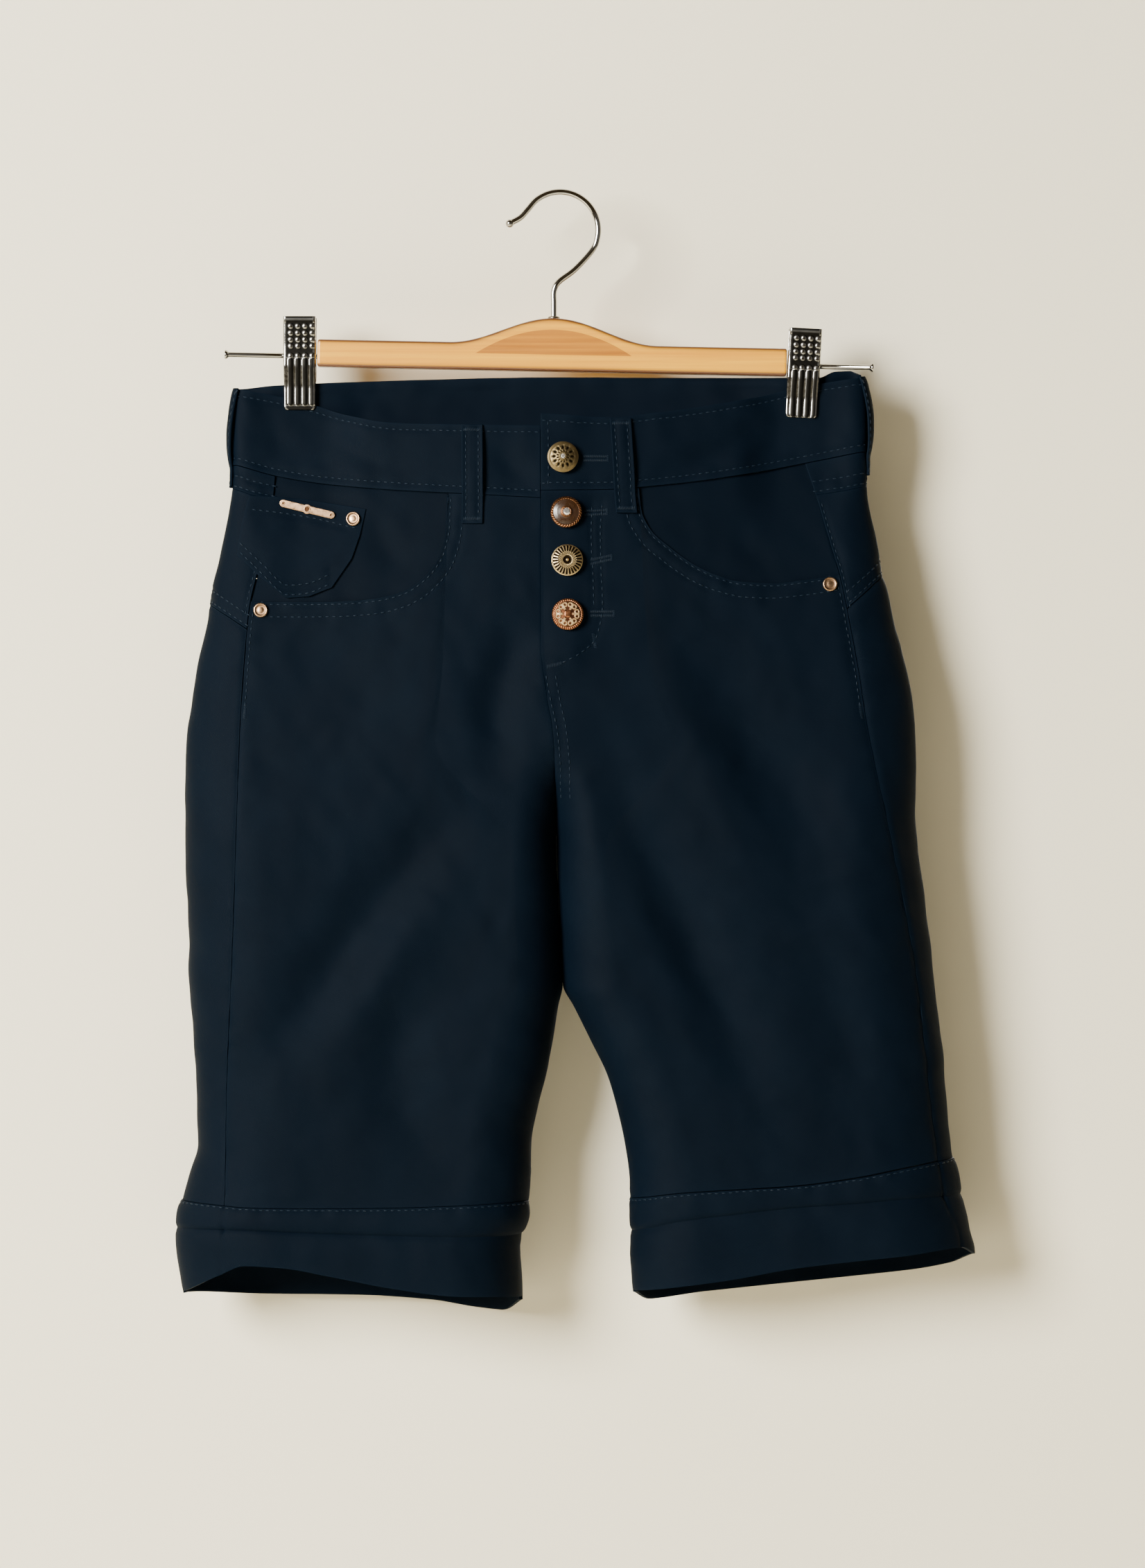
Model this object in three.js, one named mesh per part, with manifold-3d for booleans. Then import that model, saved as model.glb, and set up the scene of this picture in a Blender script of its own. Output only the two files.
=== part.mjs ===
// Bermuda shorts on a wooden clip hanger
//
// Millimetres, +Z up, +X to the viewer's right, and the front faces -Y. The origin is the inner top of
// the hook, where the hanger is held. R and L are the wearer's right (-X) and left (+X).
//
// Each half of the garment is one shell. A place on it is given by its side, its height z and its ring
// position: 0 at the outer side fold, 1 at the centre or the inner leg on the front, -1 on the back.

import * as THREE from 'three';
import { mergeVertices } from 'three/addons/utils/BufferGeometryUtils.js';
import Module from 'manifold-3d';

const wasm = await Module();
wasm.setup();

// Cloth sizes
const SEAM_GAP = 0.3;
const CLOTH = 1.2;
const WAISTBAND_CLOTH = 2.0;
const CUFF_CLOTH = 2.0;
const POCKET_DROP = 1.5;
const FACING_DROP = 0.9;
const LAP_RISE = 1.2;
const LAP_DROP = 0.6;
const LAP_WIDTH = 30;
const FLY_END = -250;
const UNDERLAY = { left: -22, right: 23, top: -128.5, bottom: -256 };
const LOOP_WIDTH = 11.5;
const LOOP_ARCH = 1.8;

// Heights where the front and the back divide into legs, and where the legs' inner seams start
const FRONT_DIVIDE = -296;
const BACK_DIVIDE = -312;
const CROTCH = -358;

// Heights that stand for the waistband, the pocket facing's top and the cuff's seam at the side
const WAIST_LEVEL = -125;
const FACING_LEVEL = -152;
const CUFF_LEVEL = -548;

// How fast the inner legs' seams take their full clearance below the point where the legs part
const GAP_GROWTH = 2.4;

// The outline of the two side folds
const OUTLINE = [
  { z: -95, R: -172.7, L: 161.8 },
  { z: -105, R: -175.0, L: 164.8 },
  { z: -120, R: -176.9, L: 166.3 },
  { z: -158, R: -178.0, L: 166.7 },
  { z: -177, R: -180.3, L: 169.0 },
  { z: -196, R: -184.1, L: 173.1 },
  { z: -215, R: -189.0, L: 177.3 },
  { z: -234, R: -192.4, L: 182.2 },
  { z: -262, R: -198.1, L: 189.0 },
  { z: -300, R: -203.0, L: 193.5 },
  { z: -336, R: -203.9, L: 193.5 },
  { z: -385, R: -202.6, L: 198.8 },
  { z: -442, R: -200.7, L: 204.9 },
  { z: -498, R: -197.3, L: 210.5 },
  { z: -517, R: -197.3, L: 212.1 },
  { z: -536, R: -201.9, L: 215.8 },
  { z: -555, R: -206.8, L: 219.2 },
  { z: -565, R: -207.9, L: 221.1 },
  { z: -578, R: -206.5, L: 224.6 },
  { z: -610, R: -202.0, L: 225.5 },
];

// The centre line on the front and, below the point where the legs part, their inner edges
const INNER = [
  { z: -95, R: -10.6, L: -10.6 },
  { z: -245, R: -10.2, L: -10.2 },
  { z: -276, R: -6.8, L: -6.8 },
  { z: -290, R: -4.2, L: -4.2 },
  { z: -315, R: -2.6, L: -2.6 },
  { z: -358, R: -1.9, L: -1.9 },
  { z: -385, R: -0.8, L: -0.8 },
  { z: -431, R: 1.5, L: 1.5 },
  { z: -442, R: -0.8, L: 7.2 },
  { z: -461, R: -3.8, L: 16.6 },
  { z: -480, R: -7.6, L: 25.7 },
  { z: -498, R: -12.1, L: 31.0 },
  { z: -517, R: -15.5, L: 35.2 },
  { z: -536, R: -15.9, L: 37.8 },
  { z: -555, R: -17.8, L: 38.6 },
  { z: -574, R: -23.1, L: 39.7 },
  { z: -610, R: -21.0, L: 41.5 },
];
const BACK_CENTRE = -4;

// Half depths of the front and the back, at the middle and by the side, and the widths of their round edges
const DEPTH = [
  { z: -95, front: 14, back: 4, side: 3.4, round: 9, innerRound: 16 },
  { z: -125, front: 16, back: 5, side: 4.4, round: 10, innerRound: 16 },
  { z: -165, front: 19, back: 9, side: 8, round: 14, innerRound: 16 },
  { z: -225, front: 24, back: 16, side: 15, round: 24, innerRound: 16 },
  { z: -300, front: 28, back: 22, side: 21, round: 38, innerRound: 18 },
  { z: -360, front: 29, back: 25, side: 24, round: 44, innerRound: 24 },
  { z: -450, front: 29, back: 26, side: 25, round: 48, innerRound: 32 },
  { z: -610, front: 30, back: 27, side: 26, round: 52, innerRound: 38 },
];

// Where the clips pinch the waistband flat
const PINCH = { R: -141.8, L: 131.9, flatHalf: 11.5, fadeHalf: 38, bottom: -123, fadeBottom: -190 };

// The side seams, which lie on the front
const SIDE_SEAM = [
  { z: -140, R: -154.0, L: 131.0 },
  { z: -154, R: -155.0, L: 135.8 },
  { z: -164, R: -155.7, L: 139.1 },
  { z: -190, R: -160.5, L: 146.6 },
  { z: -207, R: -164.2, L: 151.7 },
  { z: -226, R: -168.4, L: 155.7 },
  { z: -256, R: -171.2, L: 161.3 },
  { z: -287, R: -173.1, L: 166.0 },
  { z: -366, R: -175.5, L: 182.2 },
  { z: -423, R: -177.6, L: 192.8 },
  { z: -498, R: -180.7, L: 201.5 },
  { z: -545, R: -181.2, L: 208.0 },
  { z: -572, R: -182.6, L: 216.5 },
  { z: -610, R: -183.2, L: 219.5 },
];

// Seams that run across, by x, for the front and the back of each side
const WAIST = {
  frontR: [
    { x: -176, top: -106.1, seam: -147.7 },
    { x: -155, top: -109.9, seam: -153.7 },
    { x: -133, top: -115.2, seam: -157.6 },
    { x: -116, top: -120.5, seam: -159.6 },
    { x: -92, top: -125.0, seam: -161.7 },
    { x: -63, top: -126.1, seam: -163.4 },
    { x: -10, top: -126.9, seam: -166.2 },
  ],
  frontL: [
    { x: -10, top: -120.5, seam: -162.4 },
    { x: 28, top: -122.5, seam: -161.7 },
    { x: 45, top: -120.8, seam: -160.3 },
    { x: 73, top: -116.9, seam: -157.3 },
    { x: 104, top: -111.4, seam: -152.4 },
    { x: 134, top: -104.5, seam: -146.6 },
    { x: 165, top: -99.8, seam: -140.4 },
  ],
  back: [
    { x: -176, top: -106.1, seam: -147.7 },
    { x: -152, top: -103.8, seam: -147.0 },
    { x: -92, top: -101.2, seam: -144.6 },
    { x: -6, top: -99.3, seam: -143.0 },
    { x: 73, top: -99.6, seam: -141.6 },
    { x: 141, top: -99.8, seam: -140.0 },
    { x: 150, top: -96.4, seam: -140.0 },
    { x: 158, top: -96.0, seam: -140.2 },
    { x: 165, top: -99.8, seam: -140.4 },
  ],
};
const YOKE = {
  frontR: [
    { x: -191, band: -160.8, yoke: -223.5 },
    { x: -178, band: -161.0, yoke: -232.0 },
    { x: -168, band: -164.0, yoke: -238.6 },
    { x: -155, band: -167.0, yoke: -247.0 },
  ],
  frontL: [
    { x: 139, band: -164.2, yoke: -241.0 },
    { x: 155, band: -161.8, yoke: -227.0 },
    { x: 167, band: -159.6, yoke: -216.2 },
    { x: 176, band: -159.4, yoke: -207.6 },
  ],
  back: [
    { x: -191, band: -160.8, yoke: -223.5 },
    { x: -176, band: -160.8, yoke: -213.0 },
    { x: -140, band: -159.8, yoke: -201.0 },
    { x: -80, band: -158.4, yoke: -197.5 },
    { x: -4, band: -158.0, yoke: -207.0 },
    { x: 70, band: -157.6, yoke: -197.0 },
    { x: 135, band: -158.0, yoke: -196.5 },
    { x: 167, band: -159.3, yoke: -202.0 },
    { x: 176, band: -159.4, yoke: -207.6 },
  ],
};
const CUFF = {
  frontR: [
    { x: -206, stitch: -548.0, crease: -562.7, hem: -598.6 },
    { x: -183, stitch: -549.5, crease: -562.4, hem: -588.9 },
    { x: -170, stitch: -550.4, crease: -562.5, hem: -583.9 },
    { x: -150, stitch: -550.8, crease: -563.3, hem: -585.0 },
    { x: -124, stitch: -550.8, crease: -564.3, hem: -589.6 },
    { x: -91, stitch: -550.5, crease: -565.3, hem: -596.0 },
    { x: -59, stitch: -549.5, crease: -566.1, hem: -600.2 },
    { x: -33, stitch: -548.4, crease: -565.9, hem: -601.3 },
    { x: -20, stitch: -548.0, crease: -565.4, hem: -600.8 },
  ],
  backR: [
    { x: -206, stitch: -548.0, crease: -562.7, hem: -598.6 },
    { x: -162, stitch: -548.8, crease: -563.0, hem: -599.9 },
    { x: -111, stitch: -549.4, crease: -564.0, hem: -600.6 },
    { x: -71, stitch: -549.2, crease: -565.0, hem: -603.2 },
    { x: -45, stitch: -548.8, crease: -565.6, hem: -607.2 },
    { x: -32, stitch: -548.4, crease: -565.6, hem: -608.0 },
    { x: -20, stitch: -548.0, crease: -565.4, hem: -600.8 },
  ],
  frontL: [
    { x: 40, stitch: -546.5, crease: -564.2, hem: -597.0 },
    { x: 67, stitch: -542.5, crease: -557.4, hem: -595.0 },
    { x: 93, stitch: -540.9, crease: -554.0, hem: -591.3 },
    { x: 127, stitch: -538.8, crease: -550.2, hem: -585.2 },
    { x: 160, stitch: -534.5, crease: -548.0, hem: -581.3 },
    { x: 186, stitch: -529.5, crease: -545.8, hem: -578.6 },
    { x: 217, stitch: -524.5, crease: -544.6, hem: -575.2 },
    { x: 225, stitch: -523.5, crease: -544.4, hem: -577.4 },
  ],
  backL: [
    { x: 40, stitch: -546.5, crease: -564.2, hem: -597.0 },
    { x: 50, stitch: -545.0, crease: -561.5, hem: -601.8 },
    { x: 80, stitch: -542.0, crease: -556.6, hem: -598.6 },
    { x: 120, stitch: -539.2, crease: -551.4, hem: -594.4 },
    { x: 160, stitch: -534.5, crease: -548.0, hem: -590.3 },
    { x: 193, stitch: -528.6, crease: -546.0, hem: -586.5 },
    { x: 213, stitch: -525.2, crease: -544.8, hem: -582.0 },
    { x: 225, stitch: -523.5, crease: -544.4, hem: -577.4 },
  ],
};

// How the cuff stands out between its stitched top (0), its crease (1) and its hem (2)
const CUFF_PROFILE = [
  { at: 0, lift: 0.3 },
  { at: 0.5, lift: 1.7 },
  { at: 0.85, lift: 1.2 },
  { at: 1, lift: -1.5 },
  { at: 1.12, lift: 0.9 },
  { at: 1.5, lift: 1.6 },
  { at: 2, lift: 0.8 },
];

// The curved pocket mouths, from the side seam to the waist seam
const MOUTH_R = [
  { x: -167.6, z: -222.2 },
  { x: -142.1, z: -222.5 },
  { x: -121.0, z: -222.3 },
  { x: -102.1, z: -221.0 },
  { x: -85.0, z: -216.9 },
  { x: -72.2, z: -207.8 },
  { x: -64.6, z: -196.1 },
  { x: -61.4, z: -181.3 },
  { x: -60.6, z: -163.5 },
];
const MOUTH_L = [
  { x: 152.0, z: -207.6 },
  { x: 130.8, z: -210.8 },
  { x: 114.9, z: -212.3 },
  { x: 99.0, z: -211.6 },
  { x: 85.4, z: -208.2 },
  { x: 72.6, z: -202.1 },
  { x: 59.7, z: -193.0 },
  { x: 50.3, z: -184.7 },
  { x: 44.6, z: -174.1 },
  { x: 42.7, z: -160.5 },
];

// The edges of the pocket facings that are hidden behind the fronts
const FACING_R = {
  bottom: [
    { x: -169.2, z: -232.0 },
    { x: -120, z: -231.5 },
    { x: -88, z: -227.5 },
    { x: -60, z: -212.0 },
  ],
  inner: [
    { x: -51, z: -164.2 },
    { x: -52, z: -190.0 },
    { x: -60, z: -212.0 },
  ],
};
const FACING_L = {
  bottom: [
    { x: 153.6, z: -217.0 },
    { x: 118, z: -221.0 },
    { x: 88, z: -218.5 },
    { x: 50, z: -200.0 },
  ],
  inner: [
    { x: 34, z: -161.2 },
    { x: 37, z: -182.0 },
    { x: 50, z: -200.0 },
  ],
};

// The coin pocket's four edges
const COIN_POCKET = {
  top: [
    { x: -169.0, z: -164.7 },
    { x: -140.0, z: -166.2 },
    { x: -105.3, z: -172.1 },
  ],
  bottom: [
    { x: -175.0, z: -197.1 },
    { x: -163.0, z: -209.0 },
    { x: -148.3, z: -220.6 },
    { x: -136.0, z: -219.6 },
    { x: -123.7, z: -214.8 },
  ],
  outer: [
    { x: -169.0, z: -164.7 },
    { x: -172.5, z: -180.0 },
    { x: -175.0, z: -197.1 },
  ],
  inner: [
    { x: -105.3, z: -172.1 },
    { x: -108.5, z: -186.2 },
    { x: -112.9, z: -199.1 },
    { x: -123.7, z: -214.8 },
  ],
};
const COIN_POCKET_CLOTH = 1.0;

// Folds and ridges, each a bowed line with a soft round section. Negative depths are ridges.
const FRONT_FOLDS = [
  { x0: 23, z0: -302, x1: 73, z1: -410, x2: 114, z2: -500, width: 15, depth: 6.5 },
  { x0: 62, z0: -236, x1: 118, z1: -316, x2: 145, z2: -378, width: 19, depth: 5 },
  { x0: 46, z0: -238, x1: 80, z1: -315, x2: 112, z2: -400, width: 15, depth: -3 },
  { x0: 128, z0: -400, x1: 150, z1: -455, x2: 160, z2: -515, width: 17, depth: 3 },
  { x0: -14, z0: -232, x1: -35, z1: -278, x2: -25, z2: -322, width: 12, depth: 4.5 },
  { x0: -50, z0: -330, x1: -103, z1: -392, x2: -170, z2: -490, width: 15, depth: 5 },
  { x0: -62, z0: -378, x1: -95, z1: -425, x2: -124, z2: -470, width: 13, depth: -3 },
  { x0: -62, z0: -425, x1: -88, z1: -485, x2: -42, z2: -540, width: 17, depth: 4 },
  { x0: -150, z0: -240, x1: -120, z1: -262, x2: -90, z2: -300, width: 16, depth: 2 },
  { x0: -143, z0: -118, x1: -122, z1: -135, x2: -92, z2: -150, width: 7, depth: 2 },
  { x0: -37, z0: -139, x1: -26, z1: -150, x2: -12, z2: -158, width: 6, depth: 1.2 },
  { x0: 116, z0: -122, x1: 84, z1: -142, x2: 46, z2: -154, width: 7, depth: 1.8 },
  { x0: -101, z0: -173, x1: -96, z1: -190, x2: -86, z2: -207, width: 9, depth: 1.6 },
];
const BACK_FOLDS = [
  { x0: -20, z0: -300, x1: -75, z1: -385, x2: -130, z2: -480, width: 17, depth: 5 },
  { x0: -60, z0: -260, x1: -110, z1: -320, x2: -150, z2: -400, width: 18, depth: 3.5 },
  { x0: -35, z0: -400, x1: -70, z1: -470, x2: -60, z2: -535, width: 16, depth: 3.5 },
  { x0: 18, z0: -305, x1: 60, z1: -395, x2: 120, z2: -490, width: 16, depth: 5.5 },
  { x0: 55, z0: -255, x1: 105, z1: -325, x2: 140, z2: -390, width: 18, depth: 3.5 },
  { x0: 70, z0: -425, x1: 90, z1: -480, x2: 85, z2: -530, width: 15, depth: 3 },
  { x0: -110, z0: -118, x1: -85, z1: -128, x2: -50, z2: -134, width: 7, depth: 1.2 },
  { x0: 105, z0: -114, x1: 75, z1: -126, x2: 45, z2: -132, width: 7, depth: 1.2 },
];

// Belt loops: on the front by x, at the side folds and the back centre by ring position
const FRONT_LOOPS = [
  { name: 'belt_loop_front_R', side: 'R', topX: -47.5, top: -126.4, bottomX: -47.5, bottom: -180.4 },
  { name: 'belt_loop_front_L', side: 'L', topX: 32.7, top: -123.0, bottomX: 36.1, bottom: -174.6 },
];
const OTHER_LOOPS = [
  { name: 'belt_loop_side_R', side: 'R', ring: -0.06, top: -106, bottom: -160, columns: 8, lift: 0.5 },
  { name: 'belt_loop_side_L', side: 'L', ring: -0.06, top: -100, bottom: -153, columns: 8, lift: 0.5 },
  { name: 'belt_loop_back', side: 'R', ring: -1, top: -99.8, bottom: -156, columns: 3, lift: 0 },
];

// Trim sizes
const BUTTONS = [
  { name: 'button_1', x: 1.6, z: -144.5, radius: 8.4, dome: 2.6, colour: 0x6b5a3f },
  { name: 'button_2', x: 3.3, z: -174.5, radius: 8.5, dome: 1.6, colour: 0x5a3a28 },
  { name: 'button_3', x: 3.9, z: -200.6, radius: 8.5, dome: 1.3, colour: 0x9a8a66 },
  { name: 'button_4', x: 4.3, z: -229.9, radius: 8.6, dome: 1.9, colour: 0x8a5f4a },
];
const BUTTON_RIM = 1.5;
const SHANK = { radius: 4, height: 1.2 };
const RIVET_RADIUS = 3.9;
const RIVET_HEIGHT = 1.4;
const RIVETS = [
  { name: 'rivet_pocket_R', side: 'R', x: -162.3, z: -227.2, onCoinPocket: false },
  { name: 'rivet_pocket_L', side: 'L', x: 146.4, z: -213.1, onCoinPocket: false },
  { name: 'rivet_coin', side: 'R', x: -112.2, z: -177.5, onCoinPocket: true },
];
const PLATE = { x: -137.3, z: -172.0, length: 31, height: 4, thick: 0.8, tilt: 13.8, boss: 2.6, eyelet: 0.9 };

// Hanger sizes
const HANGER_TILT = THREE.MathUtils.degToRad(1.15);
const BAR = {
  centre: -3.4,
  left: -132.1,
  right: 123.6,
  top: -81.6,
  bottom: -96.5,
  thick: 11,
  bevel: 1.2,
  hump: 14,
  humpHalf: 57,
  pivot: -87,
};
const INLAY = { half: 42.5, bottom: -87.6, height: 13.6, depth: 1.0 };
const HOOK = { wire: 3.3, radius: 20.8, centre: -19.15, stem: -3.4, bottom: -66.9, ball: 2.3 };
const ROD = { radius: 1.4, cap: 2.6, z: -90.7, left: -183, right: 171.2 };
const CLIPS = {
  R: { x: -141.8, top: -66.8, bottom: -117.4, lean: 0 },
  L: { x: 133.9, top: -73.4, bottom: -121.7, lean: 3 },
};
const CLIP = { width: 17, sheet: 1.1, spread: 6.6, seat: 5.0, seatFrom: 16, seatTo: 27, bite: 2.45, biteDrop: 38 };
const SPRING = { inner: 1.75, outer: 4.6, groove: 0.7, half: 6, coils: 4 };

// Colours, roughness and metalness
const FINISH = {
  cloth: { color: 0x141c2b, roughness: 0.85, metalness: 0 },
  facing: { color: 0x121927, roughness: 0.88, metalness: 0 },
  wood: { color: 0xd9a962, roughness: 0.45, metalness: 0 },
  inlay: { color: 0xcd9a55, roughness: 0.5, metalness: 0 },
  chrome: { color: 0xb9bcc0, roughness: 0.15, metalness: 1 },
  rose: { color: 0xc9a190, roughness: 0.35, metalness: 1 },
};

function clamp(value, low, high) {
  return Math.min(high, Math.max(low, value));
}

function smooth(from, to, value) {
  const share = clamp((value - from) / (to - from), 0, 1);
  return share * share * (3 - 2 * share);
}

function lerp(a, b, share) {
  return a + (b - a) * share;
}

// Reads a table's column between its rows on a smooth curve that never overshoots
function lookUp(rows, input, output, value) {
  const last = rows.length - 1;
  const sign = Math.sign(rows[last][input] - rows[0][input]);
  const at = (index) => sign * rows[index][input];
  const wanted = clamp(sign * value, at(0), at(last));
  let index = 0;
  while (index < last - 1 && wanted > at(index + 1)) {
    index += 1;
  }
  const slope = (i) => (rows[i + 1][output] - rows[i][output]) / (at(i + 1) - at(i));
  const tangent = (i) => {
    if (i === 0) return slope(0);
    if (i === last) return slope(last - 1);
    const product = slope(i - 1) * slope(i);
    return product <= 0 ? 0 : (2 * product) / (slope(i - 1) + slope(i));
  };
  const span = at(index + 1) - at(index);
  const t = (wanted - at(index)) / span;
  const start = rows[index][output];
  const end = rows[index + 1][output];
  const blend = t * t * (3 - 2 * t);
  const pull = t * (1 - t) * ((1 - t) * tangent(index) - t * tangent(index + 1)) * span;
  return start + (end - start) * blend + pull;
}

// A point at a share of the way along a short table of x and z
function along(rows, share) {
  const place = clamp(share, 0, 1) * (rows.length - 1);
  const index = Math.min(rows.length - 2, Math.floor(place));
  const part = place - index;
  return { x: lerp(rows[index].x, rows[index + 1].x, part), z: lerp(rows[index].z, rows[index + 1].z, part) };
}

function other(side) {
  return side === 'R' ? 'L' : 'R';
}

// How far a height has turned from the one trunk (0) into two legs (1)
function legShare(z, back) {
  return 1 - smooth(CROTCH, back ? BACK_DIVIDE : FRONT_DIVIDE, z);
}

function innerEdge(side, z, back) {
  const leg = legShare(z, back);
  const inward = side === 'R' ? -1 : 1;
  const line = lookUp(INNER, 'z', side, z);
  const centre = back ? lerp(BACK_CENTRE, line, leg) : line;
  const gap = SEAM_GAP / 2 + (CLOTH / 2 + SEAM_GAP / 2) * Math.min(1, GAP_GROWTH * leg);
  return centre + inward * gap;
}

function quarterRound(share) {
  const inset = 1 - clamp(share, 0, 1);
  return Math.sqrt(1 - inset * inset);
}

// The depth of all folds at a place on the front or the back
function foldDepth(folds, x, z) {
  const steps = 8;
  let total = 0;
  for (const fold of folds) {
    let nearest = Infinity;
    let share = 0;
    const pullX = 2 * fold.x1 - (fold.x0 + fold.x2) / 2;
    const pullZ = 2 * fold.z1 - (fold.z0 + fold.z2) / 2;
    const at = (t, a, b, c) => (1 - t) * (1 - t) * a + 2 * t * (1 - t) * b + t * t * c;
    for (let step = 0; step < steps; step += 1) {
      const from = step / steps;
      const to = (step + 1) / steps;
      const ax = at(from, fold.x0, pullX, fold.x2);
      const az = at(from, fold.z0, pullZ, fold.z2);
      const bx = at(to, fold.x0, pullX, fold.x2) - ax;
      const bz = at(to, fold.z0, pullZ, fold.z2) - az;
      const part = clamp(((x - ax) * bx + (z - az) * bz) / (bx * bx + bz * bz), 0, 1);
      const distance = Math.hypot(x - ax - part * bx, z - az - part * bz);
      if (distance < nearest) {
        nearest = distance;
        share = lerp(from, to, part);
      }
    }
    const taper = Math.sin(Math.PI * clamp(share, 0.04, 0.96)) ** 0.8;
    total += fold.depth * taper * Math.exp(-((nearest / fold.width) ** 2));
  }
  return total;
}

// The middle of the cloth at a ring position and height of one half
function shellPoint(side, ring, z) {
  const back = ring < 0;
  const share = Math.abs(ring);
  const leg = legShare(z, back);
  const outer = lookUp(OUTLINE, 'z', side, z);
  const inner = innerEdge(side, z, back);
  const trunkAlong = 1 - Math.cos((share * Math.PI) / 2);
  const legAlong = (1 - Math.cos(share * Math.PI)) / 2;
  const x = lerp(outer, inner, lerp(trunkAlong, legAlong, leg));
  const outerRound = quarterRound(Math.abs(x - outer) / lookUp(DEPTH, 'z', 'round', z));
  const innerShare = clamp(Math.abs(inner - x) / lookUp(DEPTH, 'z', 'innerRound', z), 0, 1);
  const dip = lerp((1 - innerShare) ** 2, 1 - quarterRound(innerShare), leg);
  const edge = outerRound * (1 - leg * dip);
  const outerR = lookUp(OUTLINE, 'z', 'R', z);
  const outerL = lookUp(OUTLINE, 'z', 'L', z);
  const across = clamp((x - outerR) / (outerL - outerR), 0, 1);
  const hump = lerp(Math.sin(Math.PI * across) ** 2, 1, leg);
  const middle = lookUp(DEPTH, 'z', back ? 'back' : 'front', z);
  const plain = lerp(lookUp(DEPTH, 'z', 'side', z), middle, hump) * edge;
  const folded = plain - foldDepth(back ? BACK_FOLDS : FRONT_FOLDS, x, z) * edge;
  const clipDistance = Math.abs(x - PINCH[side]);
  const pinched = (1 - smooth(PINCH.flatHalf, PINCH.fadeHalf, clipDistance))
    * smooth(PINCH.fadeBottom, PINCH.bottom, z);
  const flat = (WAISTBAND_CLOTH / 2 + SEAM_GAP / 2) * outerRound;
  const apart = share > 0.5 ? leg * (SEAM_GAP / 2) : 0;
  const depth = Math.max(lerp(folded, flat, pinched), apart);
  return new THREE.Vector3(x, back ? depth : -depth, z);
}

// A place past the centre line belongs to the other half
function shellSpot(side, ring, z) {
  if (ring > 1) return shellPoint(other(side), 2 - ring, z);
  if (ring < -1) return shellPoint(other(side), -2 - ring, z);
  return shellPoint(side, ring, z);
}

// The outward direction of the shell
function shellNormal(side, ring, z) {
  if (ring > 1) return shellNormal(other(side), 2 - ring, z);
  if (ring < -1) return shellNormal(other(side), -2 - ring, z);
  const step = 0.01;
  const rise = 0.5;
  const ahead = shellPoint(side, Math.min(1, ring + step), z);
  const behind = shellPoint(side, Math.max(-1, ring - step), z);
  const above = shellPoint(side, ring, z + rise);
  const below = shellPoint(side, ring, z - rise);
  const normal = ahead.sub(behind).cross(above.sub(below)).normalize();
  return side === 'R' ? normal : normal.negate();
}

// The ring position of a point on the front at x
function ringAt(side, x, z) {
  let low = 0;
  let high = 1;
  const outer = lookUp(OUTLINE, 'z', side, z);
  const wanted = Math.abs(x - outer);
  for (let step = 0; step < 26; step += 1) {
    const middle = (low + high) / 2;
    if (Math.abs(shellPoint(side, middle, z).x - outer) < wanted) {
      low = middle;
    } else {
      high = middle;
    }
  }
  return (low + high) / 2;
}

// Moves a ring position by a distance along the cloth
function shiftRing(side, ring, z, distance) {
  const steps = 6;
  const probe = 0.004;
  let place = ring;
  for (let step = 0; step < steps; step += 1) {
    const speed = shellSpot(side, place + probe, z).distanceTo(shellSpot(side, place - probe, z)) / (2 * probe);
    place += distance / steps / Math.max(speed, 1);
  }
  return place;
}

// The height of a crosswise seam at a ring position
function seamHeight(tables, column, side, ring) {
  const face = ring < 0 ? 'back' : 'front';
  const rows = tables[face + side] ?? tables[face];
  let z = rows[0][column];
  for (let round = 0; round < 4; round += 1) {
    z = lookUp(rows, 'x', column, shellSpot(side, ring, z).x);
  }
  return z;
}

function sideSeamRing(side, z) {
  return ringAt(side, lookUp(SIDE_SEAM, 'z', side, z), z);
}

// A spot on one half: ring and z
function spotAt(side, point) {
  return { ring: ringAt(side, point.x, point.z), z: point.z };
}

// Fills a four-sided patch from its edges, each a function of a share that gives ring and z
function patch(edges, u, v) {
  const top = edges.top(u);
  const bottom = edges.bottom(u);
  const left = edges.left(v);
  const right = edges.right(v);
  const fill = (key) => {
    const columns = lerp(top[key], bottom[key], v);
    const rows = lerp(left[key], right[key], u);
    const corners = lerp(
      lerp(edges.top(0)[key], edges.top(1)[key], u),
      lerp(edges.bottom(0)[key], edges.bottom(1)[key], u),
      v,
    );
    return columns + rows - corners;
  };
  return { ring: fill('ring'), z: fill('z') };
}

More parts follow.
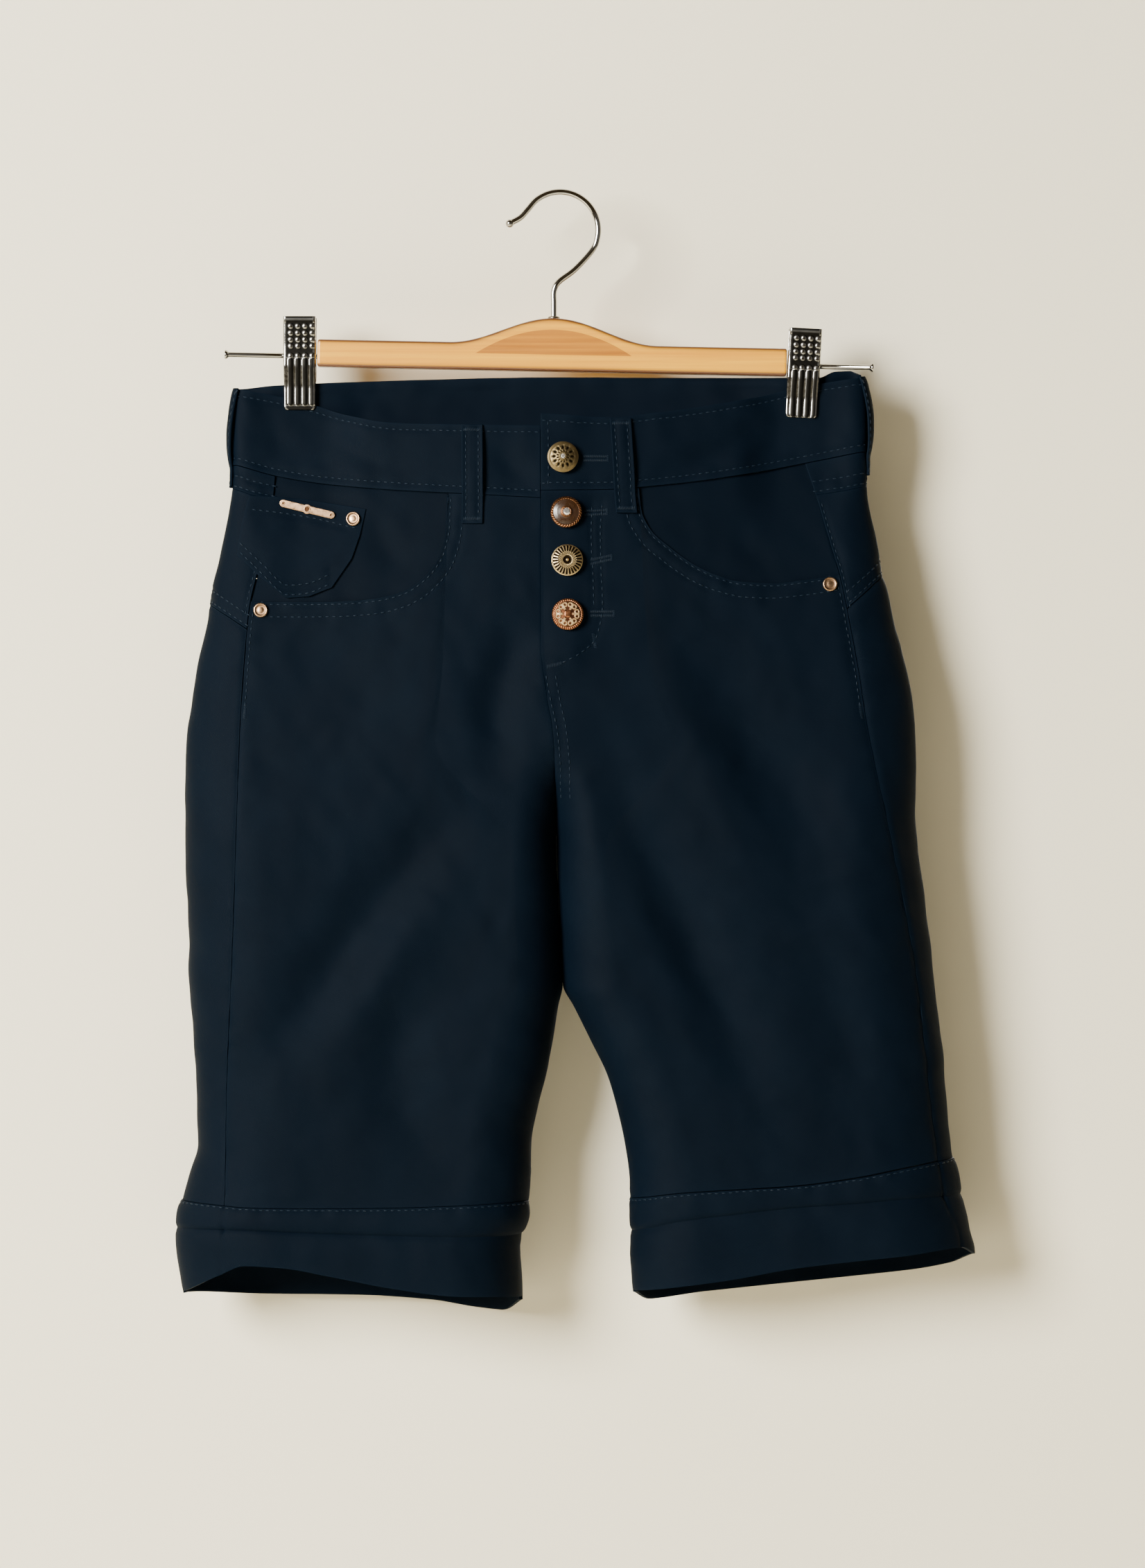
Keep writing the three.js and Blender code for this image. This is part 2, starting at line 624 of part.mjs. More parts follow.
// A closed wall of even thickness about the points that place(u, v) gives, each with its normal
function wall(place, columns, rows, thickness, closed = false) {
  const across = closed ? columns : columns + 1;
  const positions = [];
  for (const face of [0.5, -0.5]) {
    for (let row = 0; row <= rows; row += 1) {
      for (let column = 0; column < across; column += 1) {
        const spot = place(column / columns, row / rows);
        spot.point.addScaledVector(spot.normal, face * thickness);
        positions.push(spot.point.x, spot.point.y, spot.point.z);
      }
    }
  }
  const layer = across * (rows + 1);
  const at = (face, row, column) => face * layer + row * across + (column % across);
  const indices = [];
  const quad = (a, b, c, d) => indices.push(a, b, c, a, c, d);
  for (let row = 0; row < rows; row += 1) {
    for (let column = 0; column < columns; column += 1) {
      quad(at(0, row, column), at(0, row + 1, column), at(0, row + 1, column + 1), at(0, row, column + 1));
      quad(at(1, row, column), at(1, row, column + 1), at(1, row + 1, column + 1), at(1, row + 1, column));
    }
  }
  for (let column = 0; column < columns; column += 1) {
    quad(at(0, 0, column), at(0, 0, column + 1), at(1, 0, column + 1), at(1, 0, column));
    quad(at(0, rows, column + 1), at(0, rows, column), at(1, rows, column), at(1, rows, column + 1));
  }
  if (!closed) {
    for (let row = 0; row < rows; row += 1) {
      quad(at(0, row + 1, 0), at(0, row, 0), at(1, row, 0), at(1, row + 1, 0));
      quad(at(0, row, columns), at(0, row + 1, columns), at(1, row + 1, columns), at(1, row, columns));
    }
  }
  const geometry = new THREE.BufferGeometry();
  geometry.setAttribute('position', new THREE.Float32BufferAttribute(positions, 3));
  geometry.setIndex(indices);
  return facingOut(geometry);
}

function signedVolume(geometry) {
  const position = geometry.getAttribute('position');
  const index = geometry.getIndex();
  const corners = [new THREE.Vector3(), new THREE.Vector3(), new THREE.Vector3()];
  let volume = 0;
  for (let face = 0; face < index.count; face += 3) {
    corners.forEach((corner, i) => corner.fromBufferAttribute(position, index.getX(face + i)));
    volume += corners[0].dot(corners[1].clone().cross(corners[2])) / 6;
  }
  return volume;
}

// Turns a closed mesh's faces outward
function facingOut(geometry) {
  if (signedVolume(geometry) < 0) {
    const list = Array.from(geometry.getIndex().array);
    for (let face = 0; face < list.length; face += 3) {
      [list[face + 1], list[face + 2]] = [list[face + 2], list[face + 1]];
    }
    geometry.setIndex(list);
  }
  geometry.computeVertexNormals();
  return geometry;
}

// Places a spot on a half, lifted off the shell
function onShell(side, spot, lift) {
  const point = shellSpot(side, spot.ring, spot.z);
  const normal = shellNormal(side, spot.ring, spot.z);
  point.addScaledVector(normal, lift);
  return { point, normal };
}

const root = new THREE.Group();

function add(name, geometry, finish, parent = root) {
  const mesh = new THREE.Mesh(geometry, new THREE.MeshStandardMaterial(finish));
  mesh.name = name;
  parent.add(mesh);
  return mesh;
}

// A cloth panel on one half from its four edges
function addPanel(name, side, edges, columns, rows, thickness, liftOf = () => 0, finish = FINISH.cloth) {
  const place = (u, v) => {
    const spot = patch(edges, u, v);
    const x = shellSpot(side, spot.ring, spot.z).x;
    return onShell(side, spot, liftOf(x, spot.z));
  };
  add(name, wall(place, columns, rows, thickness), finish);
}

// The left front lies over the right at the fly
function lapLift(side, x, z) {
  const edge = lookUp(INNER, 'z', 'R', z);
  const near = 1 - smooth(LAP_WIDTH * 0.5, LAP_WIDTH, Math.abs(x - edge));
  const above = smooth(FLY_END - 22, FLY_END, z);
  return (side === 'L' ? LAP_RISE : -LAP_DROP) * near * above;
}

const halfGap = SEAM_GAP / 2;

// Fronts: the top follows the pocket mouth, then the waist seam
function frontPanel(side, mouth) {
  const mouthShare = 0.72;
  const seam = WAIST[`front${side}`];
  const start = mouth[mouth.length - 1];
  const centreTop = lookUp(seam, 'x', 'seam', INNER[0][side]) - halfGap;
  const top = (u) => {
    if (u === 0) {
      const z = mouth[0].z - halfGap;
      return { ring: shiftRing(side, sideSeamRing(side, z), z, halfGap), z };
    }
    if (u <= mouthShare) {
      const point = along(mouth, u / mouthShare);
      return spotAt(side, { x: point.x, z: point.z - halfGap });
    }
    const x = lerp(start.x, innerEdge(side, centreTop, false), (u - mouthShare) / (1 - mouthShare));
    const z = lookUp(seam, 'x', 'seam', x) - halfGap;
    return { ring: u === 1 ? 1 : ringAt(side, x, z), z };
  };
  const sideTop = mouth[0].z - halfGap;
  const sideSeam = lookUp(SIDE_SEAM, 'z', side, CUFF_LEVEL);
  const sideBottom = lookUp(CUFF[`front${side}`], 'x', 'stitch', sideSeam) + halfGap;
  const left = (v) => {
    const z = lerp(sideTop, sideBottom, v);
    const ring = v === 0 ? top(0).ring : shiftRing(side, sideSeamRing(side, z), z, halfGap);
    return { ring, z };
  };
  const bottomRing = left(1).ring;
  const bottom = (u) => {
    const ring = lerp(bottomRing, 1, u);
    return { ring, z: seamHeight(CUFF, 'stitch', side, ring) + halfGap };
  };
  const right = (v) => ({ ring: 1, z: lerp(top(1).z, bottom(1).z, v) });
  const edges = { top, bottom, left, right };
  addPanel(`front_panel_${side}`, side, edges, 13, 18, CLOTH, (x, z) => lapLift(side, x, z));
}

// A back piece between two crosswise seams, from the back centre to the side seam
function backPiece(name, side, upper, lower, columns, rows) {
  const topAt = (ring) => seamHeight(upper.tables, upper.column, side, ring) - halfGap;
  const bottomAt = (ring) => seamHeight(lower.tables, lower.column, side, ring) + halfGap;
  const seamRing = (heightAt) => {
    let ring = 0.3;
    for (let round = 0; round < 6; round += 1) {
      ring = sideSeamRing(side, heightAt(ring));
    }
    return shiftRing(side, ring, heightAt(ring), -halfGap);
  };
  const topEnd = seamRing(topAt);
  const bottomEnd = seamRing(bottomAt);
  const top = (u) => {
    const ring = lerp(-1, topEnd, u);
    return { ring, z: topAt(ring) };
  };
  const bottom = (u) => {
    const ring = lerp(-1, bottomEnd, u);
    return { ring, z: bottomAt(ring) };
  };
  const left = (v) => ({ ring: -1, z: lerp(top(0).z, bottom(0).z, v) });
  const right = (v) => {
    const z = lerp(top(1).z, bottom(1).z, v);
    const ring = v === 0 || v === 1 ? lerp(topEnd, bottomEnd, v) : shiftRing(side, sideSeamRing(side, z), z, -halfGap);
    return { ring, z };
  };
  addPanel(name, side, { top, bottom, left, right }, columns, rows, CLOTH);
}

function backPieces(side) {
  const waistSeam = { tables: WAIST, column: 'seam' };
  const bandSeam = { tables: YOKE, column: 'band' };
  const yokeSeam = { tables: YOKE, column: 'yoke' };
  const cuffSeam = { tables: CUFF, column: 'stitch' };
  backPiece(`back_band_${side}`, side, waistSeam, bandSeam, 16, 1);
  backPiece(`back_yoke_${side}`, side, bandSeam, yokeSeam, 16, 4);
  backPiece(`back_panel_${side}`, side, yokeSeam, cuffSeam, 16, 18);
}

// Waistband: two fronts and one back, joined at the side folds
function waistbandPiece(name, side, fromRing, toRing, columns) {
  const level = (column, ring) => {
    const mirrored = ring < -1;
    return seamHeight(WAIST, column, mirrored ? other(side) : side, mirrored ? -2 - ring : ring);
  };
  const start = shiftRing(side, fromRing, WAIST_LEVEL, fromRing < toRing ? halfGap : -halfGap);
  const end = Math.abs(toRing) === 1
    ? toRing
    : shiftRing(side, toRing, WAIST_LEVEL, fromRing < toRing ? -halfGap : halfGap);
  const place = (u, v) => {
    const ring = lerp(start, end, u);
    const z = lerp(level('top', ring), level('seam', ring) + halfGap, v);
    const x = shellSpot(side, ring, z).x;
    return onShell(side, { ring, z }, ring > 0 ? lapLift(side, x, z) : 0);
  };
  add(name, wall(place, columns, 4, WAISTBAND_CLOTH), FINISH.cloth);
}

// The strip behind the fly, seen between the laps
function flyUnderlay() {
  const place = (u, v) => {
    const x = lerp(UNDERLAY.left, UNDERLAY.right, u);
    const z = lerp(UNDERLAY.top, UNDERLAY.bottom, v);
    const side = x < lookUp(INNER, 'z', 'R', z) ? 'R' : 'L';
    const underLeft = WAISTBAND_CLOTH / 2 + SEAM_GAP + CLOTH / 2 - lapLift('L', x, z);
    const underRight = LAP_DROP + WAISTBAND_CLOTH / 2 + 2 * SEAM_GAP + CLOTH / 2;
    const drop = lerp(underRight, underLeft, smooth(-11, 4, x));
    return onShell(side, { ring: ringAt(side, x, z), z }, -drop);
  };
  add('fly_underlay', wall(place, 6, 9, CLOTH), FINISH.facing);
}

// The facing that shows in a pocket mouth
function pocketFacing(side, table) {
  const seam = WAIST[`front${side}`];
  const inner = table.inner;
  const bottomLine = table.bottom;
  const topStart = lookUp(SIDE_SEAM, 'z', side, FACING_LEVEL);
  const top = (u) => {
    const x = lerp(topStart, inner[0].x, u);
    const z = lookUp(seam, 'x', 'seam', x) - FACING_DROP;
    return { ring: u === 0 ? shiftRing(side, sideSeamRing(side, z), z, halfGap) : ringAt(side, x, z), z };
  };
  const sideBottom = bottomLine[0].z;
  const left = (v) => {
    const z = lerp(top(0).z, sideBottom, v);
    return { ring: shiftRing(side, sideSeamRing(side, z), z, halfGap), z };
  };
  const bottom = (u) => (u === 0 ? left(1) : spotAt(side, along(bottomLine, u)));
  const right = (v) => (v === 0 ? top(1) : spotAt(side, along(inner, v)));
  const edges = { top, bottom, left, right };
  addPanel(`pocket_facing_${side}`, side, edges, 9, 6, CLOTH, () => -POCKET_DROP, FINISH.facing);
}

// The coin pocket lies on the facing and climbs over the side seam
function coinLift(x) {
  const onYoke = CLOTH / 2 + SEAM_GAP + COIN_POCKET_CLOTH / 2;
  const onFacing = CLOTH / 2 - POCKET_DROP + SEAM_GAP + COIN_POCKET_CLOTH / 2;
  return lerp(onYoke, onFacing, smooth(-157, -141, x));
}

function coinPocket() {
  const edge = (rows) => (share) => spotAt('R', along(rows, share));
  const edges = {
    top: edge(COIN_POCKET.top),
    bottom: edge(COIN_POCKET.bottom),
    left: edge(COIN_POCKET.outer),
    right: edge(COIN_POCKET.inner),
  };
  addPanel('coin_pocket', 'R', edges, 8, 6, COIN_POCKET_CLOTH, (x) => coinLift(x));
}

// Hem cuff: a closed tube below the leg, with a pressed crease
function cuff(side) {
  const columns = 30;
  const place = (u, v) => {
    const ring = -1 + 2 * u;
    const row = CUFF_PROFILE[Math.round(v * (CUFF_PROFILE.length - 1))];
    const level = (column) => seamHeight(CUFF, column, side, ring);
    const z = row.at <= 1
      ? lerp(level('stitch') - halfGap, level('crease'), row.at)
      : lerp(level('crease'), level('hem'), row.at - 1);
    return onShell(side, { ring, z }, row.lift);
  };
  add(`cuff_${side}`, wall(place, columns, CUFF_PROFILE.length - 1, CUFF_CLOTH, true), FINISH.cloth);
}

// A belt loop: a strip over the waistband, arched a little off it
function beltLoop(name, side, top, bottom, columns = 3, lift = 0) {
  const place = (u, v) => {
    const z = lerp(top.z, bottom.z, v);
    const centre = lerp(top.ring, bottom.ring, v);
    const ring = shiftRing(side, centre, z, (u - 0.5) * LOOP_WIDTH);
    const over = lerp(WAISTBAND_CLOTH / 2, CLOTH / 2, smooth(0.72, 0.82, v));
    const seat = over + SEAM_GAP + CLOTH / 2 + lift;
    return onShell(side, { ring, z }, seat + LOOP_ARCH * Math.sin(Math.PI * clamp(v / 0.8, 0, 1)));
  };
  add(name, wall(place, columns, 9, CLOTH), FINISH.cloth);
}

function beltLoops() {
  for (const loop of FRONT_LOOPS) {
    const top = { ring: ringAt(loop.side, loop.topX, loop.top), z: loop.top };
    const bottom = { ring: ringAt(loop.side, loop.bottomX, loop.bottom), z: loop.bottom };
    beltLoop(loop.name, loop.side, top, bottom);
  }
  for (const loop of OTHER_LOOPS) {
    const top = { ring: loop.ring, z: loop.top };
    beltLoop(loop.name, loop.side, top, { ring: loop.ring, z: loop.bottom }, loop.columns, loop.lift);
  }
}

// A turned piece whose axis stands on the shell
function turned(profile, point, normal, segments) {
  const geometry = new THREE.LatheGeometry(profile.map(([r, h]) => new THREE.Vector2(r, h)), segments);
  const turn = new THREE.Quaternion().setFromUnitVectors(new THREE.Vector3(0, 1, 0), normal);
  geometry.applyQuaternion(turn);
  geometry.translate(point.x, point.y, point.z);
  return welded(geometry);
}

// Joins the shared vertices of a three.js shape and turns its faces outward
function welded(geometry) {
  const bare = geometry.clone();
  for (const key of ['normal', 'uv']) {
    bare.deleteAttribute(key);
  }
  const source = mergeVertices(bare, 1e-3);
  const list = source.getIndex().array;
  const kept = [];
  for (let face = 0; face < list.length; face += 3) {
    const [a, b, c] = [list[face], list[face + 1], list[face + 2]];
    if (a !== b && b !== c && c !== a) {
      kept.push(a, b, c);
    }
  }
  source.setIndex(kept);
  return facingOut(source);
}

function buttons() {
  for (const button of BUTTONS) {
    const onBand = button.z > -160;
    const surface = LAP_RISE + (onBand ? WAISTBAND_CLOTH : CLOTH) / 2 + SEAM_GAP;
    const spot = { ring: ringAt('L', button.x, button.z), z: button.z };
    const { point, normal } = onShell('L', spot, surface);
    const rim = SHANK.height + BUTTON_RIM;
    const profile = [
      [0, 0],
      [SHANK.radius, 0],
      [SHANK.radius, SHANK.height],
      [button.radius - 0.5, SHANK.height],
      [button.radius, SHANK.height + 0.5],
      [button.radius, rim - 0.4],
      [button.radius - 0.7, rim],
      [button.radius * 0.6, rim + button.dome * 0.6],
      [button.radius * 0.25, rim + button.dome * 0.95],
      [0, rim + button.dome],
    ];
    const metal = { color: button.colour, roughness: 0.35, metalness: 1 };
    add(button.name, turned(profile, point, normal, 20), metal);
  }
}

function rivet(name, side, x, z, lift) {
  const { point, normal } = onShell(side, { ring: ringAt(side, x, z), z }, lift + SEAM_GAP);
  const profile = [
    [0, 0],
    [RIVET_RADIUS, 0],
    [RIVET_RADIUS, RIVET_HEIGHT * 0.5],
    [RIVET_RADIUS * 0.85, RIVET_HEIGHT],
    [RIVET_RADIUS * 0.6, RIVET_HEIGHT * 0.8],
    [0, RIVET_HEIGHT * 0.8],
  ];
  add(name, turned(profile, point, normal, 16), FINISH.rose);
}

function rivets() {
  for (const { name, side, x, z, onCoinPocket } of RIVETS) {
    const surface = onCoinPocket ? coinLift(x) + COIN_POCKET_CLOTH / 2 : CLOTH / 2;
    rivet(name, side, x, z, surface);
  }
}

// The bare metal plate on the coin pocket, with an eyelet at each end and a round boss
function plate() {
  const half = PLATE.length / 2;
  const radius = PLATE.height / 2;
  const shape = new THREE.Shape();
  const bossAngle = Math.asin(radius * 0.8 / PLATE.boss);
  shape.absarc(-half + radius, 0, radius, Math.PI / 2, -Math.PI / 2, false);
  shape.lineTo(-PLATE.boss, -radius * 0.8);
  shape.absarc(0, 0, PLATE.boss, Math.PI + bossAngle, -bossAngle, false);
  shape.lineTo(half - radius, -radius);
  shape.absarc(half - radius, 0, radius, -Math.PI / 2, Math.PI / 2, false);
  shape.lineTo(PLATE.boss, radius * 0.8);
  shape.absarc(0, 0, PLATE.boss, bossAngle, Math.PI - bossAngle, false);
  shape.closePath();
  for (const end of [-1, 1]) {
    const hole = new THREE.Path();
    hole.absarc(end * (half - radius), 0, PLATE.eyelet, 0, Math.PI * 2, true);
    shape.holes.push(hole);
  }
  const geometry = new THREE.ExtrudeGeometry(shape, { depth: PLATE.thick, bevelEnabled: false, curveSegments: 4 });
  geometry.rotateZ(-THREE.MathUtils.degToRad(PLATE.tilt));
  geometry.rotateX(Math.PI / 2);
  const run = Math.cos(THREE.MathUtils.degToRad(PLATE.tilt)) * half;
  const fall = Math.sin(THREE.MathUtils.degToRad(PLATE.tilt)) * half;
  const depthAt = (share) => {
    const x = PLATE.x + share * run;
    const z = PLATE.z - share * fall;
    const lift = coinLift(x) + COIN_POCKET_CLOTH / 2 + 2 * SEAM_GAP;
    return onShell('R', { ring: ringAt('R', x, z), z }, lift).point.y;
  };
  const [outerY, middleY, innerY] = [-1, 0, 1].map(depthAt);
  const yaw = Math.atan2(innerY - outerY, 2 * run);
  geometry.rotateZ(yaw);
  const seat = Math.min(middleY, (outerY + innerY) / 2);
  geometry.translate(PLATE.x, seat, PLATE.z);
  add('plate', welded(geometry), FINISH.rose);
}

// A solid for cutting and joining
function solidOf(geometry) {
  const bare = welded(geometry);
  return new wasm.Manifold(new wasm.Mesh({
    numProp: 3,
    vertProperties: new Float32Array(bare.getAttribute('position').array),
    triVerts: new Uint32Array(bare.getIndex().array),
  }));
}

function geometryOf(solid) {
  const mesh = solid.getMesh();
  const geometry = new THREE.BufferGeometry();
  geometry.setAttribute('position', new THREE.Float32BufferAttribute(mesh.vertProperties, 3));
  geometry.setIndex(Array.from(mesh.triVerts));
  return facingOut(geometry);
}

function inlayShape(grow) {
  const half = INLAY.half + grow * 3;
  const base = INLAY.bottom - grow;
  const height = INLAY.height + grow * 2;
  const shape = new THREE.Shape();
  shape.moveTo(-half, base);
  shape.quadraticCurveTo(0, base + height * 2, half, base);
  shape.closePath();
  return shape;
}

function barHeight(x) {
  const share = clamp(Math.abs(x) / BAR.humpHalf, 0, 1);
  return BAR.top + BAR.hump * Math.cos((share * Math.PI) / 2) ** 2;
}

// Wooden bar with a hump at the middle, cut for the inlay
function hangerBar(parent) {
  const left = BAR.left - BAR.centre;
  const right = BAR.right - BAR.centre;
  const steps = 18;
  const shape = new THREE.Shape();
  shape.moveTo(left + BAR.bevel, BAR.bottom + BAR.bevel);
  shape.lineTo(right - BAR.bevel, BAR.bottom + BAR.bevel);
  shape.lineTo(right - BAR.bevel, BAR.top - BAR.bevel);
  for (let step = 0; step <= steps; step += 1) {
    const x = lerp(BAR.humpHalf, -BAR.humpHalf, step / steps);
    shape.lineTo(x, barHeight(x) - BAR.bevel);
  }
  shape.lineTo(left + BAR.bevel, BAR.top - BAR.bevel);
  shape.closePath();
  const inner = BAR.thick - 2 * BAR.bevel;
  const bar = new THREE.ExtrudeGeometry(shape, {
    depth: inner,
    bevelSize: BAR.bevel,
    bevelThickness: BAR.bevel,
    bevelSegments: 2,
    curveSegments: 4,
  });
  bar.translate(0, 0, -inner / 2);
  bar.rotateX(Math.PI / 2);
  const pocket = new THREE.ExtrudeGeometry(inlayShape(SEAM_GAP), {
    depth: INLAY.depth * 2,
    bevelEnabled: false,
    curveSegments: 12,
  });
  pocket.rotateX(Math.PI / 2);
  pocket.translate(0, -BAR.thick / 2 + INLAY.depth, 0);
  const carved = geometryOf(solidOf(bar).subtract(solidOf(pocket)));
  add('hanger_bar', carved, FINISH.wood, parent);
  const inlay = new THREE.ExtrudeGeometry(inlayShape(0), {
    depth: INLAY.depth - SEAM_GAP,
    bevelEnabled: false,
    curveSegments: 12,
  });
  inlay.rotateX(Math.PI / 2);
  inlay.translate(0, -BAR.thick / 2 + INLAY.depth - SEAM_GAP, 0);
  add('hanger_inlay', welded(inlay), FINISH.inlay, parent);
}

// Rods on both ends of the bar, each with a flared cap
function hangerRod(name, from, to, parent) {
  const length = Math.abs(to - from);
  const profile = [
    [0, 0],
    [ROD.radius, 0],
    [ROD.radius, length - 2.4],
    [ROD.cap * 0.8, length - 1.4],
    [ROD.cap, length - 0.6],
    [ROD.cap * 0.8, length],
    [0, length],
  ];
  const direction = new THREE.Vector3(Math.sign(to - from), 0, 0);
  add(name, turned(profile, new THREE.Vector3(from, 0, ROD.z), direction, 12), FINISH.chrome, parent);
}

// Hook: a bent wire with a round tip
function hangerHook() {
  const points = [
    new THREE.Vector3(HOOK.stem, 0, HOOK.bottom),
    new THREE.Vector3(HOOK.stem, 0, HOOK.bottom + 8),
    new THREE.Vector3(HOOK.stem + 0.1, 0, -52.5),
    new THREE.Vector3(-0.6, 0, -47.4),
    new THREE.Vector3(8.2, 0, -40.6),
  ];
  const start = THREE.MathUtils.degToRad(-32);
  const end = THREE.MathUtils.degToRad(148);
  const arcSteps = 9;
  for (let step = 0; step <= arcSteps; step += 1) {
    const angle = lerp(start, end, step / arcSteps);
    const x = HOOK.radius * Math.cos(angle);
    const z = HOOK.centre + HOOK.radius * Math.sin(angle);
    points.push(new THREE.Vector3(x, 0, z));
  }
  points.push(new THREE.Vector3(-21.6, 0, -12.4));
  points.push(new THREE.Vector3(-27.4, 0, -15.6));
  const path = new THREE.CatmullRomCurve3(points, false, 'centripetal');
  const sides = 8;
  const section = new THREE.Shape();
  for (let side = 0; side < sides; side += 1) {
    const angle = (side / sides) * Math.PI * 2;
    const x = (HOOK.wire / 2) * Math.cos(angle);
    const y = (HOOK.wire / 2) * Math.sin(angle);
    if (side === 0) section.moveTo(x, y);
    else section.lineTo(x, y);
  }
  section.closePath();
  const wire = new THREE.ExtrudeGeometry(section, { steps: 44, extrudePath: path, bevelEnabled: false });
  const ball = new THREE.SphereGeometry(HOOK.ball, 10, 6);
  const tip = points[points.length - 1];
  ball.translate(tip.x, tip.y, tip.z);
  add('hanger_hook', geometryOf(solidOf(wire).add(solidOf(ball))), FINISH.chrome);
}

// One clip: two bent jaws on the rod with a spring between them
function clip(side) {
  const place = CLIPS[side];
  const height = place.top - place.bottom;
  const jaw = (outward) => {
    const inside = [
      [CLIP.spread, 0],
      [CLIP.seat, -CLIP.seatFrom],
      [CLIP.seat, -CLIP.seatTo],
      [CLIP.bite, -CLIP.biteDrop],
      [CLIP.bite, -height],
    ];
    const shape = new THREE.Shape();
    shape.moveTo(outward * inside[0][0], inside[0][1]);
    inside.slice(1).forEach(([y, z]) => shape.lineTo(outward * y, z));
    const outside = inside.map(([y, z]) => [y + CLIP.sheet, z]).reverse();
    outside.forEach(([y, z]) => shape.lineTo(outward * y, z));
    shape.closePath();
    const geometry = new THREE.ExtrudeGeometry(shape, { depth: CLIP.width, bevelEnabled: false });
    geometry.translate(0, 0, -CLIP.width / 2);
    geometry.rotateX(Math.PI / 2);
    geometry.rotateZ(Math.PI / 2);
    return welded(geometry);
  };
  const group = new THREE.Group();
  group.position.set(place.x, 0, place.top);
  group.rotation.y = THREE.MathUtils.degToRad(place.lean);
  root.add(group);
  add(`clip_front_${side}`, jaw(-1), FINISH.chrome, group);
  add(`clip_back_${side}`, jaw(1), FINISH.chrome, group);
  const profile = [[SPRING.inner, -SPRING.half]];
  for (let coil = 0; coil < SPRING.coils; coil += 1) {
    const from = lerp(-SPRING.half, SPRING.half, coil / SPRING.coils);
    const to = lerp(-SPRING.half, SPRING.half, (coil + 1) / SPRING.coils);
    profile.push([SPRING.outer - SPRING.groove, from + 0.05], [SPRING.outer, (from + to) / 2]);
  }
  profile.push([SPRING.outer - SPRING.groove, SPRING.half], [SPRING.inner, SPRING.half], [SPRING.inner, -SPRING.half]);
  const rodHeight = ROD.z - (place.x - BAR.centre) * Math.tan(HANGER_TILT);
  const centre = new THREE.Vector3(place.x, 0, rodHeight);
  const axis = new THREE.Vector3(Math.cos(HANGER_TILT), 0, -Math.sin(HANGER_TILT));
  add(`clip_spring_${side}`, turned(profile, centre, axis, 12), FINISH.chrome);
}

function hanger() {
  const group = new THREE.Group();
  group.position.set(BAR.centre, 0, BAR.pivot);
  group.rotation.y = HANGER_TILT;
  const level = new THREE.Group();
  level.position.set(0, 0, -BAR.pivot);
  group.add(level);
  root.add(group);
  hangerBar(level);
  hangerRod('hanger_rod_R', BAR.left - BAR.centre - SEAM_GAP, ROD.left - BAR.centre, level);
  hangerRod('hanger_rod_L', BAR.right - BAR.centre + SEAM_GAP, ROD.right - BAR.centre, level);
  hangerHook();
  clip('R');
  clip('L');
}

frontPanel('R', MOUTH_R);
frontPanel('L', MOUTH_L);
backPieces('R');
backPieces('L');
waistbandPiece('waistband_front_R', 'R', 0, 1, 14);
waistbandPiece('waistband_front_L', 'L', 0, 1, 14);
waistbandPiece('waistband_back', 'R', 0, -2, 26);
flyUnderlay();
pocketFacing('R', FACING_R);
pocketFacing('L', FACING_L);
coinPocket();
cuff('R');
cuff('L');
beltLoops();
buttons();
rivets();
plate();
hanger();

export default root;
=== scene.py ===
"""Bermuda shorts on a wooden clip hanger: cloth, stitches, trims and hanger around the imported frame.

The front faces -Y, +X is the viewer's right, and the origin is the inner top of the hook. R and L are
the wearer's right (-X) and left (+X). The pattern tables are in millimetres, as they were taken off the
garment, and MM turns them into metres where a mesh is made.
"""

import functools
import math

import bmesh
import bpy
import numpy as np
from mathutils import Matrix, Vector
from mathutils.bvhtree import BVHTree


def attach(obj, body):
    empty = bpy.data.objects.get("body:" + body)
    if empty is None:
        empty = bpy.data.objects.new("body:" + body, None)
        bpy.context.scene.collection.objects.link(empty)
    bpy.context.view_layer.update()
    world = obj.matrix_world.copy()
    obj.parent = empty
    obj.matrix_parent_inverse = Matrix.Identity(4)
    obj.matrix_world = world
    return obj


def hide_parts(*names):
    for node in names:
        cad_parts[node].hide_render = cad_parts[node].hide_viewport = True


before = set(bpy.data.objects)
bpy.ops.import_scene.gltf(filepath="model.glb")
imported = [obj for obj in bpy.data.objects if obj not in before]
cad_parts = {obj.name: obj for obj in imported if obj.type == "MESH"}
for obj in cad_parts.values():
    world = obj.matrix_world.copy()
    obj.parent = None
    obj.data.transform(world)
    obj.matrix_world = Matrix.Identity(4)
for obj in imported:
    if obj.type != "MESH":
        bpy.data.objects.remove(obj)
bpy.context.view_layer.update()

bl_info = {
    "name": "Bermuda shorts on a clip hanger",
    "version": (1, 0, 0),
    "blender": (4, 5, 0),
    "location": "View3D > Sidebar > Shorts",
    "description": "Builds cotton bermuda shorts with their stitches, buttons and wooden clip hanger",
    "category": "Object",
}

MM = 0.001

# Cloth sizes
SEAM_GAP = 0.3
HALF_GAP = SEAM_GAP / 2
CLOTH = 1.2
WAISTBAND_CLOTH = 2.0
CUFF_CLOTH = 2.0
COIN_POCKET_CLOTH = 1.0
POCKET_DROP = 1.5
FACING_RISE = 3.0
LAP_RISE = 1.2
LAP_DROP = 0.6
LAP_WIDTH = 30
FLY_END = -250
UNDERLAY = {"left": -22, "right": 23, "top": -128.5, "bottom": -256}
LOOP_WIDTH = 11.5
LOOP_ARCH = 1.8
FRONT_DIVIDE = -296
BACK_DIVIDE = -312
CROTCH = -358
BACK_CENTRE = -4
WAIST_LEVEL = -125
FACING_LEVEL = -152
CUFF_LEVEL = -548
GAP_GROWTH = 2.4

